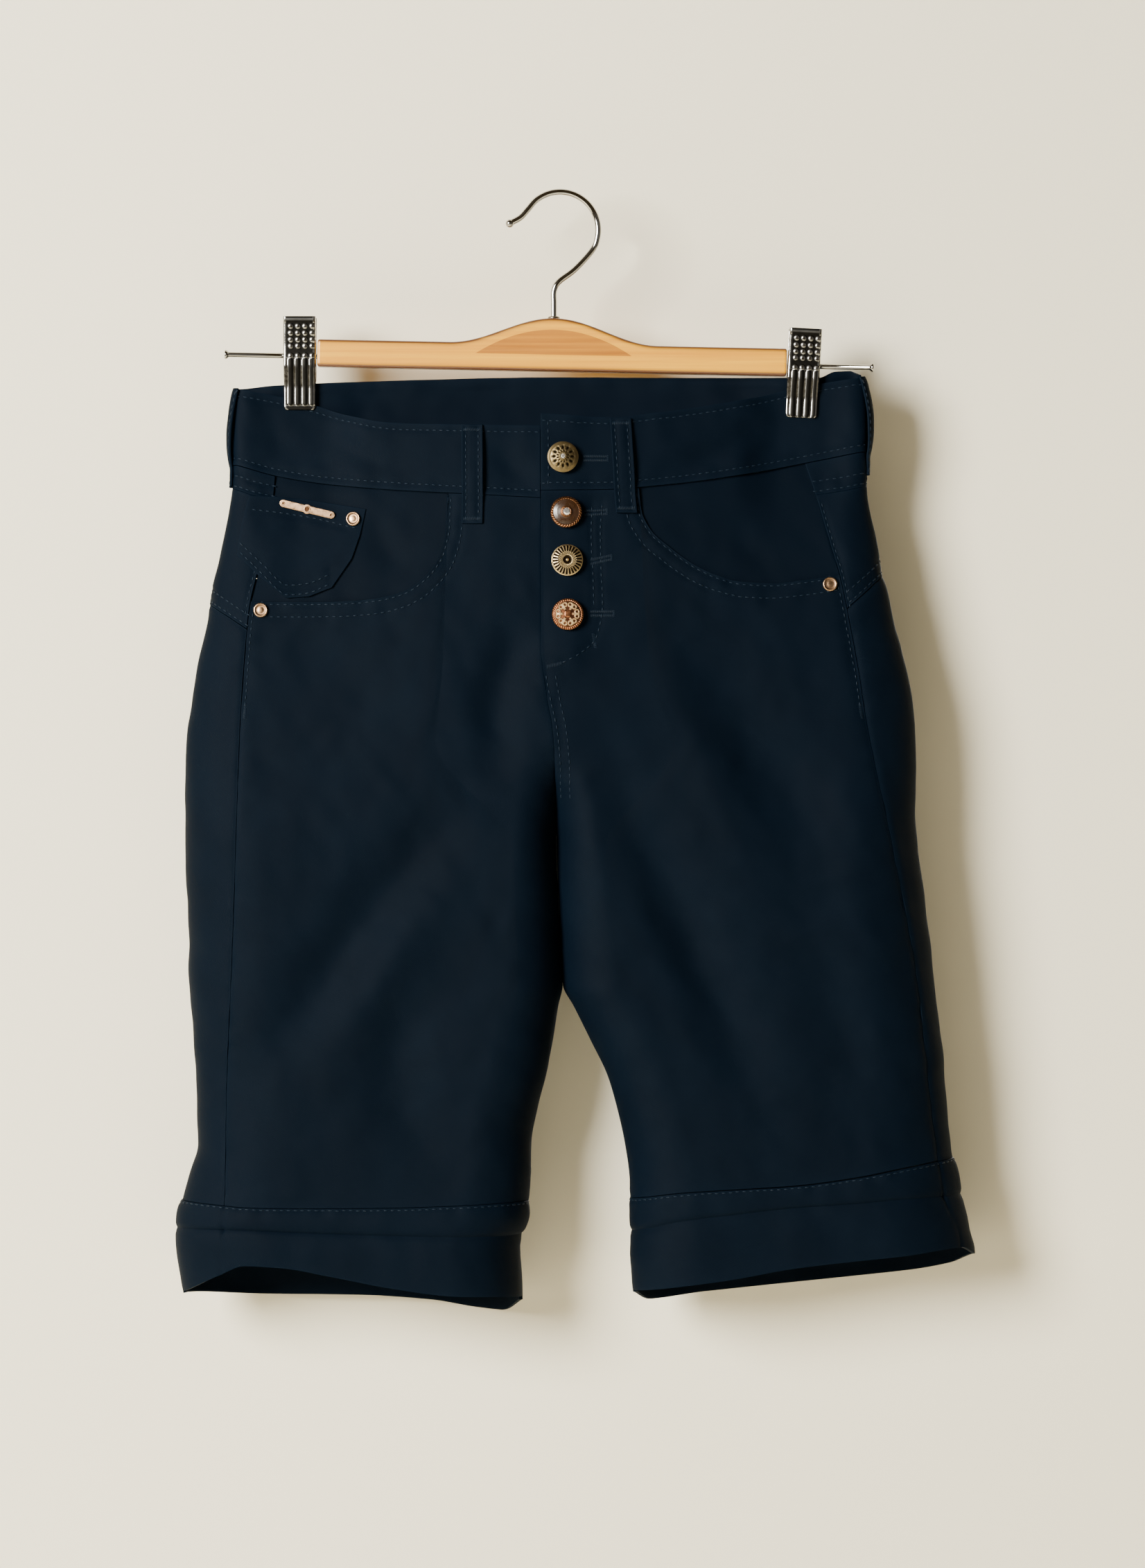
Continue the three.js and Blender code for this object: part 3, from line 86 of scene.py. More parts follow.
# How far each row of stitches lies from its seam or edge
WAISTBAND_ROWS = {"top": -3.5, "seam": 4.0}
YOKE_ROWS = (2.0, 7.6)
MOUTH_ROWS = (1.6, 8.3)
CENTRE_BACK_ROWS = (1.8, 7.4)
LOOP_ROWS = (-3.4, 3.4)
BUTTONHOLE_ROWS = (-1.1, 1.1)
SIDE_ROW = 2.2
YOKE_SIDE_ROW = -1.8
CUFF_ROW = -1.4


def table(names, *rows):
    """A short table as a column for each name."""
    return {name: np.array(column, float) for name, column in zip(names.split(), zip(*rows))}


# The outline of the two side folds
OUTLINE = table(
    "z R L",
    (-95, -172.7, 161.8), (-105, -175, 164.8), (-120, -176.9, 166.3), (-158, -178, 166.7),
    (-177, -180.3, 169), (-196, -184.1, 173.1), (-215, -189, 177.3), (-234, -192.4, 182.2),
    (-262, -198.1, 189), (-300, -203, 193.5), (-336, -203.9, 193.5), (-385, -202.6, 198.8),
    (-442, -200.7, 204.9), (-498, -197.3, 210.5), (-517, -197.3, 212.1), (-536, -201.9, 215.8),
    (-555, -206.8, 219.2), (-565, -207.9, 221.1), (-578, -206.5, 224.6), (-610, -202, 225.5),
)

# The centre line on the front and, below the point where the legs part, their inner edges
INNER = table(
    "z R L",
    (-95, -10.6, -10.6), (-245, -10.2, -10.2), (-276, -6.8, -6.8), (-290, -4.2, -4.2),
    (-315, -2.6, -2.6), (-358, -1.9, -1.9), (-385, -0.8, -0.8), (-431, 1.5, 1.5),
    (-442, -0.8, 7.2), (-461, -3.8, 16.6), (-480, -7.6, 25.7), (-498, -12.1, 31),
    (-517, -15.5, 35.2), (-536, -15.9, 37.8), (-555, -17.8, 38.6), (-574, -23.1, 39.7),
    (-610, -21, 41.5),
)

# Half depths of the front and the back, and the widths of their round edges
DEPTH = table(
    "z front back side round inner_round",
    (-95, 14, 4, 3.4, 9, 16), (-125, 16, 5, 4.4, 10, 16), (-165, 19, 9, 8, 14, 16),
    (-225, 24, 16, 15, 24, 16), (-300, 28, 22, 21, 38, 18), (-360, 29, 25, 24, 44, 24),
    (-450, 29, 26, 25, 48, 32), (-610, 30, 27, 26, 52, 38),
)

# Where the clips pinch the waistband flat
PINCH = {"R": -141.8, "L": 131.9, "flat_half": 11.5, "fade_half": 38, "bottom": -123, "fade_bottom": -190}

# The side seams, which lie on the front
SIDE_SEAM = table(
    "z R L",
    (-140, -154, 131), (-154, -155, 135.8), (-164, -155.7, 139.1), (-190, -160.5, 146.6),
    (-207, -164.2, 151.7), (-226, -168.4, 155.7), (-256, -171.2, 161.3), (-287, -173.1, 166),
    (-366, -175.5, 182.2), (-423, -177.6, 192.8), (-498, -180.7, 201.5), (-545, -181.2, 208),
    (-572, -182.6, 216.5), (-610, -183.2, 219.5),
)

# Seams that run across, by x, for the front and the back of each side
WAIST = {
    "front_R": table(
        "x top seam",
        (-176, -106.1, -147.7), (-155, -109.9, -153.7), (-133, -115.2, -157.6), (-116, -120.5, -159.6),
        (-92, -125, -161.7), (-63, -126.1, -163.4), (-10, -126.9, -166.2),
    ),
    "front_L": table(
        "x top seam",
        (-10, -120.5, -162.4), (28, -122.5, -161.7), (45, -120.8, -160.3), (73, -116.9, -157.3),
        (104, -111.4, -152.4), (134, -104.5, -146.6), (165, -99.8, -140.4),
    ),
    "back": table(
        "x top seam",
        (-176, -106.1, -147.7), (-152, -103.8, -147), (-92, -101.2, -144.6), (-6, -99.3, -143),
        (73, -99.6, -141.6), (141, -99.8, -140), (150, -96.4, -140), (158, -96, -140.2),
        (165, -99.8, -140.4),
    ),
}
YOKE = {
    "front_R": table(
        "x band yoke",
        (-191, -160.8, -223.5), (-178, -161, -232), (-168, -164, -238.6), (-155, -167, -247),
    ),
    "front_L": table(
        "x band yoke",
        (139, -164.2, -241), (155, -161.8, -227), (167, -159.6, -216.2), (176, -159.4, -207.6),
    ),
    "back": table(
        "x band yoke",
        (-191, -160.8, -223.5), (-176, -160.8, -213), (-140, -159.8, -201), (-80, -158.4, -197.5),
        (-4, -158, -207), (70, -157.6, -197), (135, -158, -196.5), (167, -159.3, -202),
        (176, -159.4, -207.6),
    ),
}
CUFF = {
    "front_R": table(
        "x stitch crease hem",
        (-206, -548, -562.7, -598.6), (-183, -549.5, -562.4, -586.7), (-170, -550.4, -562.5, -581.7),
        (-150, -550.8, -563.3, -582.8), (-124, -550.8, -564.3, -587.4), (-91, -550.5, -565.3, -593.8),
        (-59, -549.5, -566.1, -598), (-33, -548.4, -565.9, -599.1), (-20, -548, -565.4, -600.8),
    ),
    "back_R": table(
        "x stitch crease hem",
        (-206, -548, -562.7, -598.6), (-162, -548.8, -563, -601.9), (-111, -549.4, -564, -602.6),
        (-71, -549.2, -565, -605.2), (-45, -548.8, -565.6, -609.2), (-32, -548.4, -565.6, -610),
        (-20, -548, -565.4, -600.8),
    ),
    "front_L": table(
        "x stitch crease hem",
        (40, -546.5, -564.2, -597), (67, -542.5, -557.4, -592.8), (93, -540.9, -554, -589.1),
        (127, -538.8, -550.2, -583), (160, -534.5, -548, -579.1), (186, -529.5, -545.8, -576.4),
        (217, -524.5, -544.6, -573), (225, -523.5, -544.4, -577.4),
    ),
    "back_L": table(
        "x stitch crease hem",
        (40, -546.5, -564.2, -597), (50, -545, -561.5, -603.8), (80, -542, -556.6, -600.6),
        (120, -539.2, -551.4, -596.4), (160, -534.5, -548, -592.3), (193, -528.6, -546, -588.5),
        (213, -525.2, -544.8, -584), (225, -523.5, -544.4, -577.4),
    ),
}

# How the cuff stands out between its stitched top (0), its crease (1) and its hem (2)
CUFF_PROFILE = table(
    "at lift",
    (0, 0.4), (0.25, 0.9), (0.5, 1), (0.85, 0.7), (0.95, 0.1), (1, -0.35), (1.05, 0.1), (1.12, 0.7),
    (1.5, 1.2), (1.9, 1), (2, 0.8),
)

# The curved pocket mouths, from the side seam to the waist seam
MOUTH = {
    "R": table(
        "x z",
        (-167.6, -222.2), (-142.1, -222.5), (-121, -222.3), (-102.1, -221), (-85, -216.9),
        (-72.2, -207.8), (-64.6, -196.1), (-61.4, -181.3), (-60.6, -163.5),
    ),
    "L": table(
        "x z",
        (152, -207.6), (130.8, -210.8), (114.9, -212.3), (99, -211.6), (85.4, -208.2),
        (72.6, -202.1), (59.7, -193), (50.3, -184.7), (44.6, -174.1), (42.7, -160.5),
    ),
}
MOUTH_SHARE = 0.72

# The edges of the pocket facings that are hidden behind the fronts
FACING = {
    "R": {
        "bottom": table("x z", (-169.2, -232), (-120, -231.5), (-88, -227.5), (-60, -212)),
        "inner": table("x z", (-51, -164.2), (-52, -190), (-60, -212)),
    },
    "L": {
        "bottom": table("x z", (153.6, -217), (118, -221), (88, -218.5), (50, -200)),
        "inner": table("x z", (34, -161.2), (37, -182), (50, -200)),
    },
}

# The coin pocket's four edges
COIN_POCKET = {
    "top": table("x z", (-169, -164.7), (-140, -166.2), (-105.3, -172.1)),
    "bottom": table(
        "x z",
        (-175, -197.1), (-163, -209), (-148.3, -220.6), (-136, -219.6), (-123.7, -214.8),
    ),
    "outer": table("x z", (-169, -164.7), (-172.5, -180), (-175, -197.1)),
    "inner": table("x z", (-105.3, -172.1), (-108.5, -186.2), (-112.9, -199.1), (-123.7, -214.8)),
}
POINT_X = -148.3

# Folds and ridges, each a bowed line with a soft round section. Negative depths are ridges.
FRONT_FOLDS = (
    (23, -302, 73, -410, 114, -500, 15, 6.5),
    (62, -236, 118, -316, 145, -378, 19, 5),
    (46, -238, 80, -315, 112, -400, 15, -3),
    (128, -400, 150, -455, 160, -515, 17, 3),
    (-14, -232, -35, -278, -25, -322, 12, 4.5),
    (-50, -330, -103, -392, -170, -490, 15, 5),
    (-62, -378, -95, -425, -124, -470, 13, -3),
    (-62, -425, -88, -485, -42, -540, 17, 4),
    (-150, -240, -120, -262, -90, -300, 16, 2),
    (-143, -118, -122, -135, -92, -150, 7, 2),
    (-37, -139, -26, -150, -12, -158, 6, 1.2),
    (116, -122, 84, -142, 46, -154, 7, 1.8),
    (-101, -173, -96, -190, -86, -207, 9, 1.6),
)
BACK_FOLDS = (
    (-20, -300, -75, -385, -130, -480, 17, 5),
    (-60, -260, -110, -320, -150, -400, 18, 3.5),
    (-35, -400, -70, -470, -60, -535, 16, 3.5),
    (18, -305, 60, -395, 120, -490, 16, 5.5),
    (55, -255, 105, -325, 140, -390, 18, 3.5),
    (70, -425, 90, -480, 85, -530, 15, 3),
    (-110, -118, -85, -128, -50, -134, 7, 1.2),
    (105, -114, 75, -126, 45, -132, 7, 1.2),
)


def smooth(low, high, value):
    share = np.clip((value - low) / (high - low), 0, 1)
    return share * share * (3 - 2 * share)


def lerp(start, end, share):
    return start + (end - start) * share


def look_up(rows, given, wanted, value):
    """Reads a column between its rows on a smooth curve that never overshoots."""
    x = rows[given]
    y = rows[wanted]
    if x[0] > x[-1]:
        x = x[::-1]
        y = y[::-1]
    step = np.diff(x)
    slope = np.diff(y) / step
    product = slope[:-1] * slope[1:]
    total = np.where(product > 0, slope[:-1] + slope[1:], 1)
    tangent = np.concatenate([slope[:1], np.where(product > 0, 2 * product / total, 0), slope[-1:]])
    value = np.clip(value, x[0], x[-1])
    row = np.clip(np.searchsorted(x, value, side="right") - 1, 0, len(step) - 1)
    t = (value - x[row]) / step[row]
    blend = t * t * (3 - 2 * t)
    pull = t * (1 - t) * ((1 - t) * tangent[row] - t * tangent[row + 1]) * step[row]
    return y[row] + (y[row + 1] - y[row]) * blend + pull


def same_shape(*values):
    return np.broadcast_arrays(*(np.asarray(value, float) for value in values))


def along(rows, share):
    """A point at a share of the way along a table of x and z."""
    place = np.clip(share, 0, 1) * (len(rows["x"]) - 1)
    index = np.arange(len(rows["x"]))
    return np.interp(place, index, rows["x"]), np.interp(place, index, rows["z"])


def other(side):
    return "L" if side == "R" else "R"


def leg_share(z, back):
    """How far a height has turned from the one trunk (0) into two legs (1)."""
    return 1 - smooth(CROTCH, np.where(back, BACK_DIVIDE, FRONT_DIVIDE), z)


def inner_edge(side, z, back):
    leg = leg_share(z, back)
    inward = -1 if side == "R" else 1
    line = look_up(INNER, "z", side, z)
    centre = np.where(back, lerp(BACK_CENTRE, line, leg), line)
    gap = HALF_GAP + (CLOTH / 2 - 0.08) * np.minimum(1, GAP_GROWTH * leg)
    return centre + inward * gap


def quarter_round(share):
    inset = 1 - np.clip(share, 0, 1)
    return np.sqrt(1 - inset * inset)


def fold_depth(folds, x, z):
    """The depth of all folds at a place on the front or the back."""
    steps = 8
    x, z = np.atleast_1d(x, z)
    total = np.zeros_like(x)
    for x0, z0, x1, z1, x2, z2, width, depth in folds:
        pull_x = 2 * x1 - (x0 + x2) / 2
        pull_z = 2 * z1 - (z0 + z2) / 2
        t = np.linspace(0, 1, steps + 1)
        line_x = (1 - t) ** 2 * x0 + 2 * t * (1 - t) * pull_x + t * t * x2
        line_z = (1 - t) ** 2 * z0 + 2 * t * (1 - t) * pull_z + t * t * z2
        reach = 2.8 * width
        close = (np.abs(x - (line_x.min() + line_x.max()) / 2) < np.ptp(line_x) / 2 + reach)
        close &= (np.abs(z - (line_z.min() + line_z.max()) / 2) < np.ptp(line_z) / 2 + reach)
        if not close.any():
            continue
        near_x = x[close]
        near_z = z[close]
        nearest = np.full_like(near_x, np.inf)
        share = np.zeros_like(near_x)
        for step in range(steps):
            bx = line_x[step + 1] - line_x[step]
            bz = line_z[step + 1] - line_z[step]
            ax = near_x - line_x[step]
            az = near_z - line_z[step]
            part = np.clip((ax * bx + az * bz) / (bx * bx + bz * bz), 0, 1)
            distance = np.hypot(ax - part * bx, az - part * bz)
            closer = distance < nearest
            nearest = np.where(closer, distance, nearest)
            share = np.where(closer, (step + part) / steps, share)
        taper = np.sin(np.pi * np.clip(share, 0.04, 0.96)) ** 0.8
        total[close] += depth * taper * np.exp(-((nearest / width) ** 2))
    return total


def shell_x(side, ring, z):
    back = ring < 0
    share = np.abs(ring)
    leg = leg_share(z, back)
    outer = look_up(OUTLINE, "z", side, z)
    trunk = 1 - np.cos(share * np.pi / 2)
    tube = (1 - np.cos(share * np.pi)) / 2
    return lerp(outer, inner_edge(side, z, back), lerp(trunk, tube, leg))


def shell_point(side, ring, z):
    """The middle of the cloth at a ring position and a height of one half.

    The ring position is 0 at the outer side fold, 1 at the centre or the inner leg on the front, and
    -1 there on the back.
    """
    ring, z = same_shape(ring, z)
    back = ring < 0
    leg = leg_share(z, back)
    x = shell_x(side, ring, z)
    outer = look_up(OUTLINE, "z", side, z)
    inner = inner_edge(side, z, back)
    outer_round = quarter_round(np.abs(x - outer) / look_up(DEPTH, "z", "round", z))
    inner_share = np.clip(np.abs(inner - x) / look_up(DEPTH, "z", "inner_round", z), 0, 1)
    dip = lerp((1 - inner_share) ** 2, 1 - quarter_round(inner_share), leg)
    edge = outer_round * (1 - leg * dip)
    outer_r = look_up(OUTLINE, "z", "R", z)
    outer_l = look_up(OUTLINE, "z", "L", z)
    across = np.clip((x - outer_r) / (outer_l - outer_r), 0, 1)
    hump = lerp(np.sin(np.pi * across) ** 2, 1, leg)
    middle = np.where(back, look_up(DEPTH, "z", "back", z), look_up(DEPTH, "z", "front", z))
    plain = lerp(look_up(DEPTH, "z", "side", z), middle, hump) * edge
    folds = np.zeros_like(np.atleast_1d(x))
    for folded_side, rows in ((back, BACK_FOLDS), (~back, FRONT_FOLDS)):
        here = np.atleast_1d(folded_side)
        if here.any():
            folds[here] = fold_depth(rows, np.atleast_1d(x)[here], np.atleast_1d(z)[here])
    folded = plain - folds.reshape(x.shape) * edge
    pinched = 1 - smooth(PINCH["flat_half"], PINCH["fade_half"], np.abs(x - PINCH[side]))
    pinched = pinched * smooth(PINCH["fade_bottom"], PINCH["bottom"], z)
    flat = (WAISTBAND_CLOTH / 2 + HALF_GAP) * outer_round
    apart = np.where(np.abs(ring) > 0.5, leg * HALF_GAP, 0)
    depth = np.maximum(lerp(folded, flat, pinched), apart)
    return np.stack([x, np.where(back, depth, -depth), z], axis=-1)


def mirrored(ring):
    """A ring position past the centre line, on the other half."""
    return np.where(ring > 1, 2 - ring, -2 - ring)


def shell_spot(side, ring, z):
    ring, z = same_shape(ring, z)
    here = shell_point(side, np.clip(ring, -1, 1), z)
    over = np.abs(ring) > 1
    if over.any():
        here = np.where(over[..., None], shell_point(other(side), mirrored(ring), z), here)
    return here


def half_normal(side, ring, z):
    step = 0.01
    rise = 0.5
    ahead = shell_point(side, np.minimum(1, ring + step), z)
    behind = shell_point(side, np.maximum(-1, ring - step), z)
    normal = np.cross(ahead - behind, shell_point(side, ring, z + rise) - shell_point(side, ring, z - rise))
    normal /= np.maximum(np.linalg.norm(normal, axis=-1, keepdims=True), 1e-9)
    return normal if side == "R" else -normal


def shell_normal(side, ring, z):
    """The outward direction of the shell."""
    ring, z = same_shape(ring, z)
    here = half_normal(side, np.clip(ring, -1, 1), z)
    over = np.abs(ring) > 1
    if over.any():
        here = np.where(over[..., None], half_normal(other(side), mirrored(ring), z), here)
    return here


def ring_at(side, x, z):
    """The ring position of a point on the front at x."""
    x, z = same_shape(x, z)
    low = np.zeros_like(x)
    high = np.ones_like(x)
    outer = look_up(OUTLINE, "z", side, z)
    wanted = np.abs(x - outer)
    for _ in range(26):
        middle = (low + high) / 2
        short = np.abs(shell_x(side, middle, z) - outer) < wanted
        low = np.where(short, middle, low)
        high = np.where(short, high, middle)
    return (low + high) / 2


def shift_ring(side, ring, z, distance):
    """Moves a ring position by a distance along the cloth."""
    steps = 6
    probe = 0.004
    place = np.asarray(ring, float)
    for _ in range(steps):
        span = shell_spot(side, place + probe, z) - shell_spot(side, place - probe, z)
        speed = np.linalg.norm(span, axis=-1) / (2 * probe)
        place = place + distance / steps / np.maximum(speed, 1)
    return place


def seam_height(tables, column, side, ring):
    """The height of a crosswise seam at a ring position."""
    ring = np.asarray(ring, float)
    front = tables["front_" + side]
    back = tables["back"] if "back" in tables else tables["back_" + side]
    over = np.abs(ring) > 1
    z = np.where(ring < 0, back[column][0], front[column][0])
    for _ in range(4):
        x = shell_x(side, np.clip(ring, -1, 1), z)
        if over.any():
            x = np.where(over, shell_x(other(side), mirrored(ring), z), x)
        z = np.where(ring < 0, look_up(back, "x", column, x), look_up(front, "x", column, x))
    return z


def side_seam_ring(side, z):
    return ring_at(side, look_up(SIDE_SEAM, "z", side, z), z)


def on_shell(side, ring, z, lift):
    """Points lifted off the shell, and their outward directions."""
    normal = shell_normal(side, ring, z)
    return shell_spot(side, ring, z) + normal * np.asarray(lift, float)[..., None], normal


def lap_lift(side, x, z):
    """The left front lies over the right at the fly."""
    edge = look_up(INNER, "z", "R", z)
    near = 1 - smooth(LAP_WIDTH * 0.5, LAP_WIDTH, np.abs(x - edge))
    above = smooth(FLY_END - 22, FLY_END, z)
    return (LAP_RISE if side == "L" else -LAP_DROP) * near * above


def patch(edges, u, v):
    """Fills a four-sided patch from its edges, each a function of a share that gives ring and z."""
    filled = []
    ends = np.array([0.0, 1.0])
    for key in (0, 1):
        top = edges["top"](u[0])[key]
        bottom = edges["bottom"](u[0])[key]
        left = edges["left"](v[:, 0])[key][:, None]
        right = edges["right"](v[:, 0])[key][:, None]
        top_ends = edges["top"](ends)[key]
        bottom_ends = edges["bottom"](ends)[key]
        corners = lerp(lerp(top_ends[0], top_ends[1], u), lerp(bottom_ends[0], bottom_ends[1], u), v)
        filled.append(lerp(top, bottom, v) + lerp(left, right, u) - corners)
    return filled


def soft_line(rows, share):
    """A point at a share of the way along a table of x and z, on a smooth curve."""
    place = np.clip(share, 0, 1) * (len(rows["x"]) - 1)
    index = np.arange(len(rows["x"]), dtype=float)
    knots = {"i": index, "x": rows["x"], "z": rows["z"]}
    return look_up(knots, "i", "x", place), look_up(knots, "i", "z", place)


def lattice_noise(x, y, seed):
    """Smooth random hills between -1 and 1, about one unit across, the same on every run."""
    def corner(i, j):
        value = np.sin(i * 127.1 + j * 311.7 + seed * 74.7) * 43758.5453
        return 2 * (value - np.floor(value)) - 1

    i = np.floor(x)
    j = np.floor(y)
    fx = smooth(0, 1, x - i)
    fy = smooth(0, 1, y - j)
    low = lerp(corner(i, j), corner(i + 1, j), fx)
    high = lerp(corner(i, j + 1), corner(i + 1, j + 1), fx)
    return lerp(low, high, fy)


def ticks(length, step, near=(0.5, 1.2, 2.2)):
    """Shares along a length: close together at both ends, then evenly spaced."""
    ends = np.array([0, *near[:-1]])
    count = max(2, round((length - 2 * near[-1]) / step))
    middle = np.linspace(near[-1], length - near[-1], count + 1)
    return np.concatenate([ends, middle, (length - ends)[::-1]]) / length


# Modelling helpers: points are in metres from here on

def bent_grid(points, cut=None, wrap=False, marks=None):
    """A grid of faces bent onto rows and columns of points, with an optional UV map and vertex masks."""
    rows, columns = points.shape[:2]
    bm = bmesh.new()
    bmesh.ops.create_grid(bm, x_segments=columns - 1, y_segments=rows - 1, size=0.5)
    bm.verts.ensure_lookup_table()
    for vert, point in zip(bm.verts, points.reshape(-1, 3)):
        vert.co = point
    for name, values in (marks or {}).items():
        layer = bm.verts.layers.float.new(name)
        for vert, value in zip(bm.verts, values.reshape(-1)):
            vert[layer] = value
    if cut is not None:
        layer = bm.loops.layers.uv.new("cut")
        flat = cut.reshape(-1, 2)
        for face in bm.faces:
            for loop in face.loops:
                loop[layer].uv = flat[loop.vert.index]
    if wrap:
        bmesh.ops.remove_doubles(bm, verts=bm.verts, dist=1e-7)
    return bm


def close_up(bm, merge=1e-7):
    """Welds doubles, fills open ends and turns the faces outward."""
    bmesh.ops.remove_doubles(bm, verts=bm.verts, dist=merge)
    bmesh.ops.holes_fill(bm, edges=bm.edges, sides=0)
    bmesh.ops.recalc_face_normals(bm, faces=bm.faces)
    return bm


def tube(path, radius, sides, closed=True):
    """A round tube along a path of points, with the radius given once or for each point."""
    path = np.asarray(path, float)
    radius = np.broadcast_to(np.asarray(radius, float), len(path))
    tangent = np.gradient(path, axis=0)
    tangent /= np.linalg.norm(tangent, axis=1, keepdims=True)
    across = np.cross(tangent[0], (0, 1, 0) if abs(tangent[0][1]) < 0.9 else (1, 0, 0))
    frames = []
    for direction in tangent:
        across = across - direction * np.dot(across, direction)
        across = across / np.linalg.norm(across)
        frames.append((across, np.cross(direction, across)))
    turn = np.linspace(0, 2 * np.pi, sides + 1)
    rings = [
        point + size * (np.outer(np.cos(turn), a) + np.outer(np.sin(turn), b))
        for point, size, (a, b) in zip(path, radius, frames)
    ]
    bm = bent_grid(np.array(rings), wrap=True)
    return close_up(bm) if closed else bm


def relief_disc(radii, heights, spokes, emboss=None):
    """A turned body about Z from its profile, with a relief on it by emboss(radius, angle, height)."""
    radii = np.asarray(radii, float)
    heights = np.asarray(heights, float)
    turn = np.linspace(0, 2 * np.pi, spokes + 1)
    radius, angle = np.broadcast_arrays(radii[:, None], turn[None, :])
    height = np.broadcast_to(heights[:, None], radius.shape).copy()
    marks = {"hollows_and_painted_reflection": np.zeros_like(height), "region": np.zeros_like(height)}
    if emboss:
        rise, marks["hollows_and_painted_reflection"], marks["region"] = emboss(radius, angle, height)
        height += rise
    points = np.stack([radius * np.cos(angle), radius * np.sin(angle), height], axis=-1) * MM
    return close_up(bent_grid(points, wrap=True, marks=marks))


def move(bm, matrix):
    bmesh.ops.transform(bm, matrix=matrix, verts=bm.verts)


def shifted(x, y, z):
    """The matrix that moves a piece by millimetres."""
    return Matrix.Translation(Vector((x, y, z)) * MM)


def place_on(bm, point, normal, roll=0.0):
    """Moves a piece modelled about the origin onto a point, with its Z along the normal."""
    turn = Vector(normal).to_track_quat("Z", "Y").to_matrix().to_4x4()
    spin = Matrix.Rotation(roll, 4, "Z")
    move(bm, Matrix.Translation(Vector(point)) @ turn @ spin)


def new_object(name, data):
    made = bpy.data.objects.new(name, data)
    bpy.context.scene.collection.objects.link(made)
    return made


def add_piece(name, bm, material, nodes=(), sharp=None):
    """Turns a bmesh into a piece of the object that rides on the frame."""
    mesh = bpy.data.meshes.new(name)
    bm.to_mesh(mesh)
    bm.free()
    mesh.shade_smooth()
    if sharp is not None:
        mesh.set_sharp_from_angle(angle=math.radians(sharp))
    mesh.materials.append(material)
    piece = new_object(name, mesh)
    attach(piece, "root")
    if nodes:
        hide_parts(*nodes)
    return piece


# Seams: each is a line of points in millimetres on the shell

def cross_seam(side, tables, column, offset, start=-1.0, end=1.0):
    ring = np.linspace(start, end, 160)
    return shell_spot(side, ring, seam_height(tables, column, side, ring) + offset)


def side_seam(side, top, bottom, offset):
    z = np.linspace(top, bottom, 120)
    return shell_spot(side, shift_ring(side, side_seam_ring(side, z), z, offset), z)


def front_line(side, *stops, steps=24):
    """A line on the front through stops of x and z."""
    share = np.linspace(0, 1, steps * (len(stops) - 1) + 1)
    x, z = soft_line(table("x z", *stops), share)
    return shell_spot(side, ring_at(side, x, z), z)


def beside(x, z, distance):
    """A flat line moved sideways by a distance."""
    dx, dz = np.gradient(x), np.gradient(z)
    length = np.hypot(dx, dz)
    return x + dz / length * distance, z - dx / length * distance


def mouth_seam(side, offset):
    x, z = soft_line(MOUTH[side], np.linspace(0.01, 0.985, 140))
    x, z = beside(x, z, offset if side == "R" else -offset)
    return shell_spot(side, ring_at(side, x, z), z)


def level_line(side, ring, top, bottom, offset=0.0):
    """An upright line at a ring position, moved along the cloth by an offset."""
    z = np.linspace(top, bottom, 60)
    ring = shift_ring(side, np.full_like(z, ring), z, offset)
    return shell_spot(side, ring, z)


def reach_along(line):
    """The length along a line at each of its points."""
    return np.concatenate([[0], np.cumsum(np.linalg.norm(np.diff(line, axis=0), axis=1))])


def nearest_on(line, points):
    """The distance from each point to a line, and the length along the line there."""
    reach = reach_along(line)
    best = np.full(points.shape[:-1], np.inf)
    place = np.zeros(points.shape[:-1])
    for index in range(len(line) - 1):
        step = line[index + 1] - line[index]
        away = points - line[index]
        share = np.clip(away @ step / max(step @ step, 1e-9), 0, 1)
        distance = np.linalg.norm(away - share[..., None] * step, axis=-1)
        closer = distance < best
        best = np.where(closer, distance, best)
        place = np.where(closer, lerp(reach[index], reach[index + 1], share), place)
    return best, place


def seam_relief(points, line, seed, groove=0.45, width=1.2, pucker=0.55, reach=4.5, pitch=6.5):
    """The groove that a row of stitches pulls into the cloth, with small puckers across it."""
    stride = max(1, len(line) // 60)
    distance, place = nearest_on(np.concatenate([line[::stride], line[-1:]]), points)
    pull = groove * np.exp(-((distance / width) ** 2))
    ripple = lattice_noise(place / pitch, np.full_like(place, 0.5), seed)
    return pucker * ripple * np.exp(-((distance / reach) ** 2)) - pull


# Each sewn piece's surface and half thickness, kept for its stitches
SEWN = {}


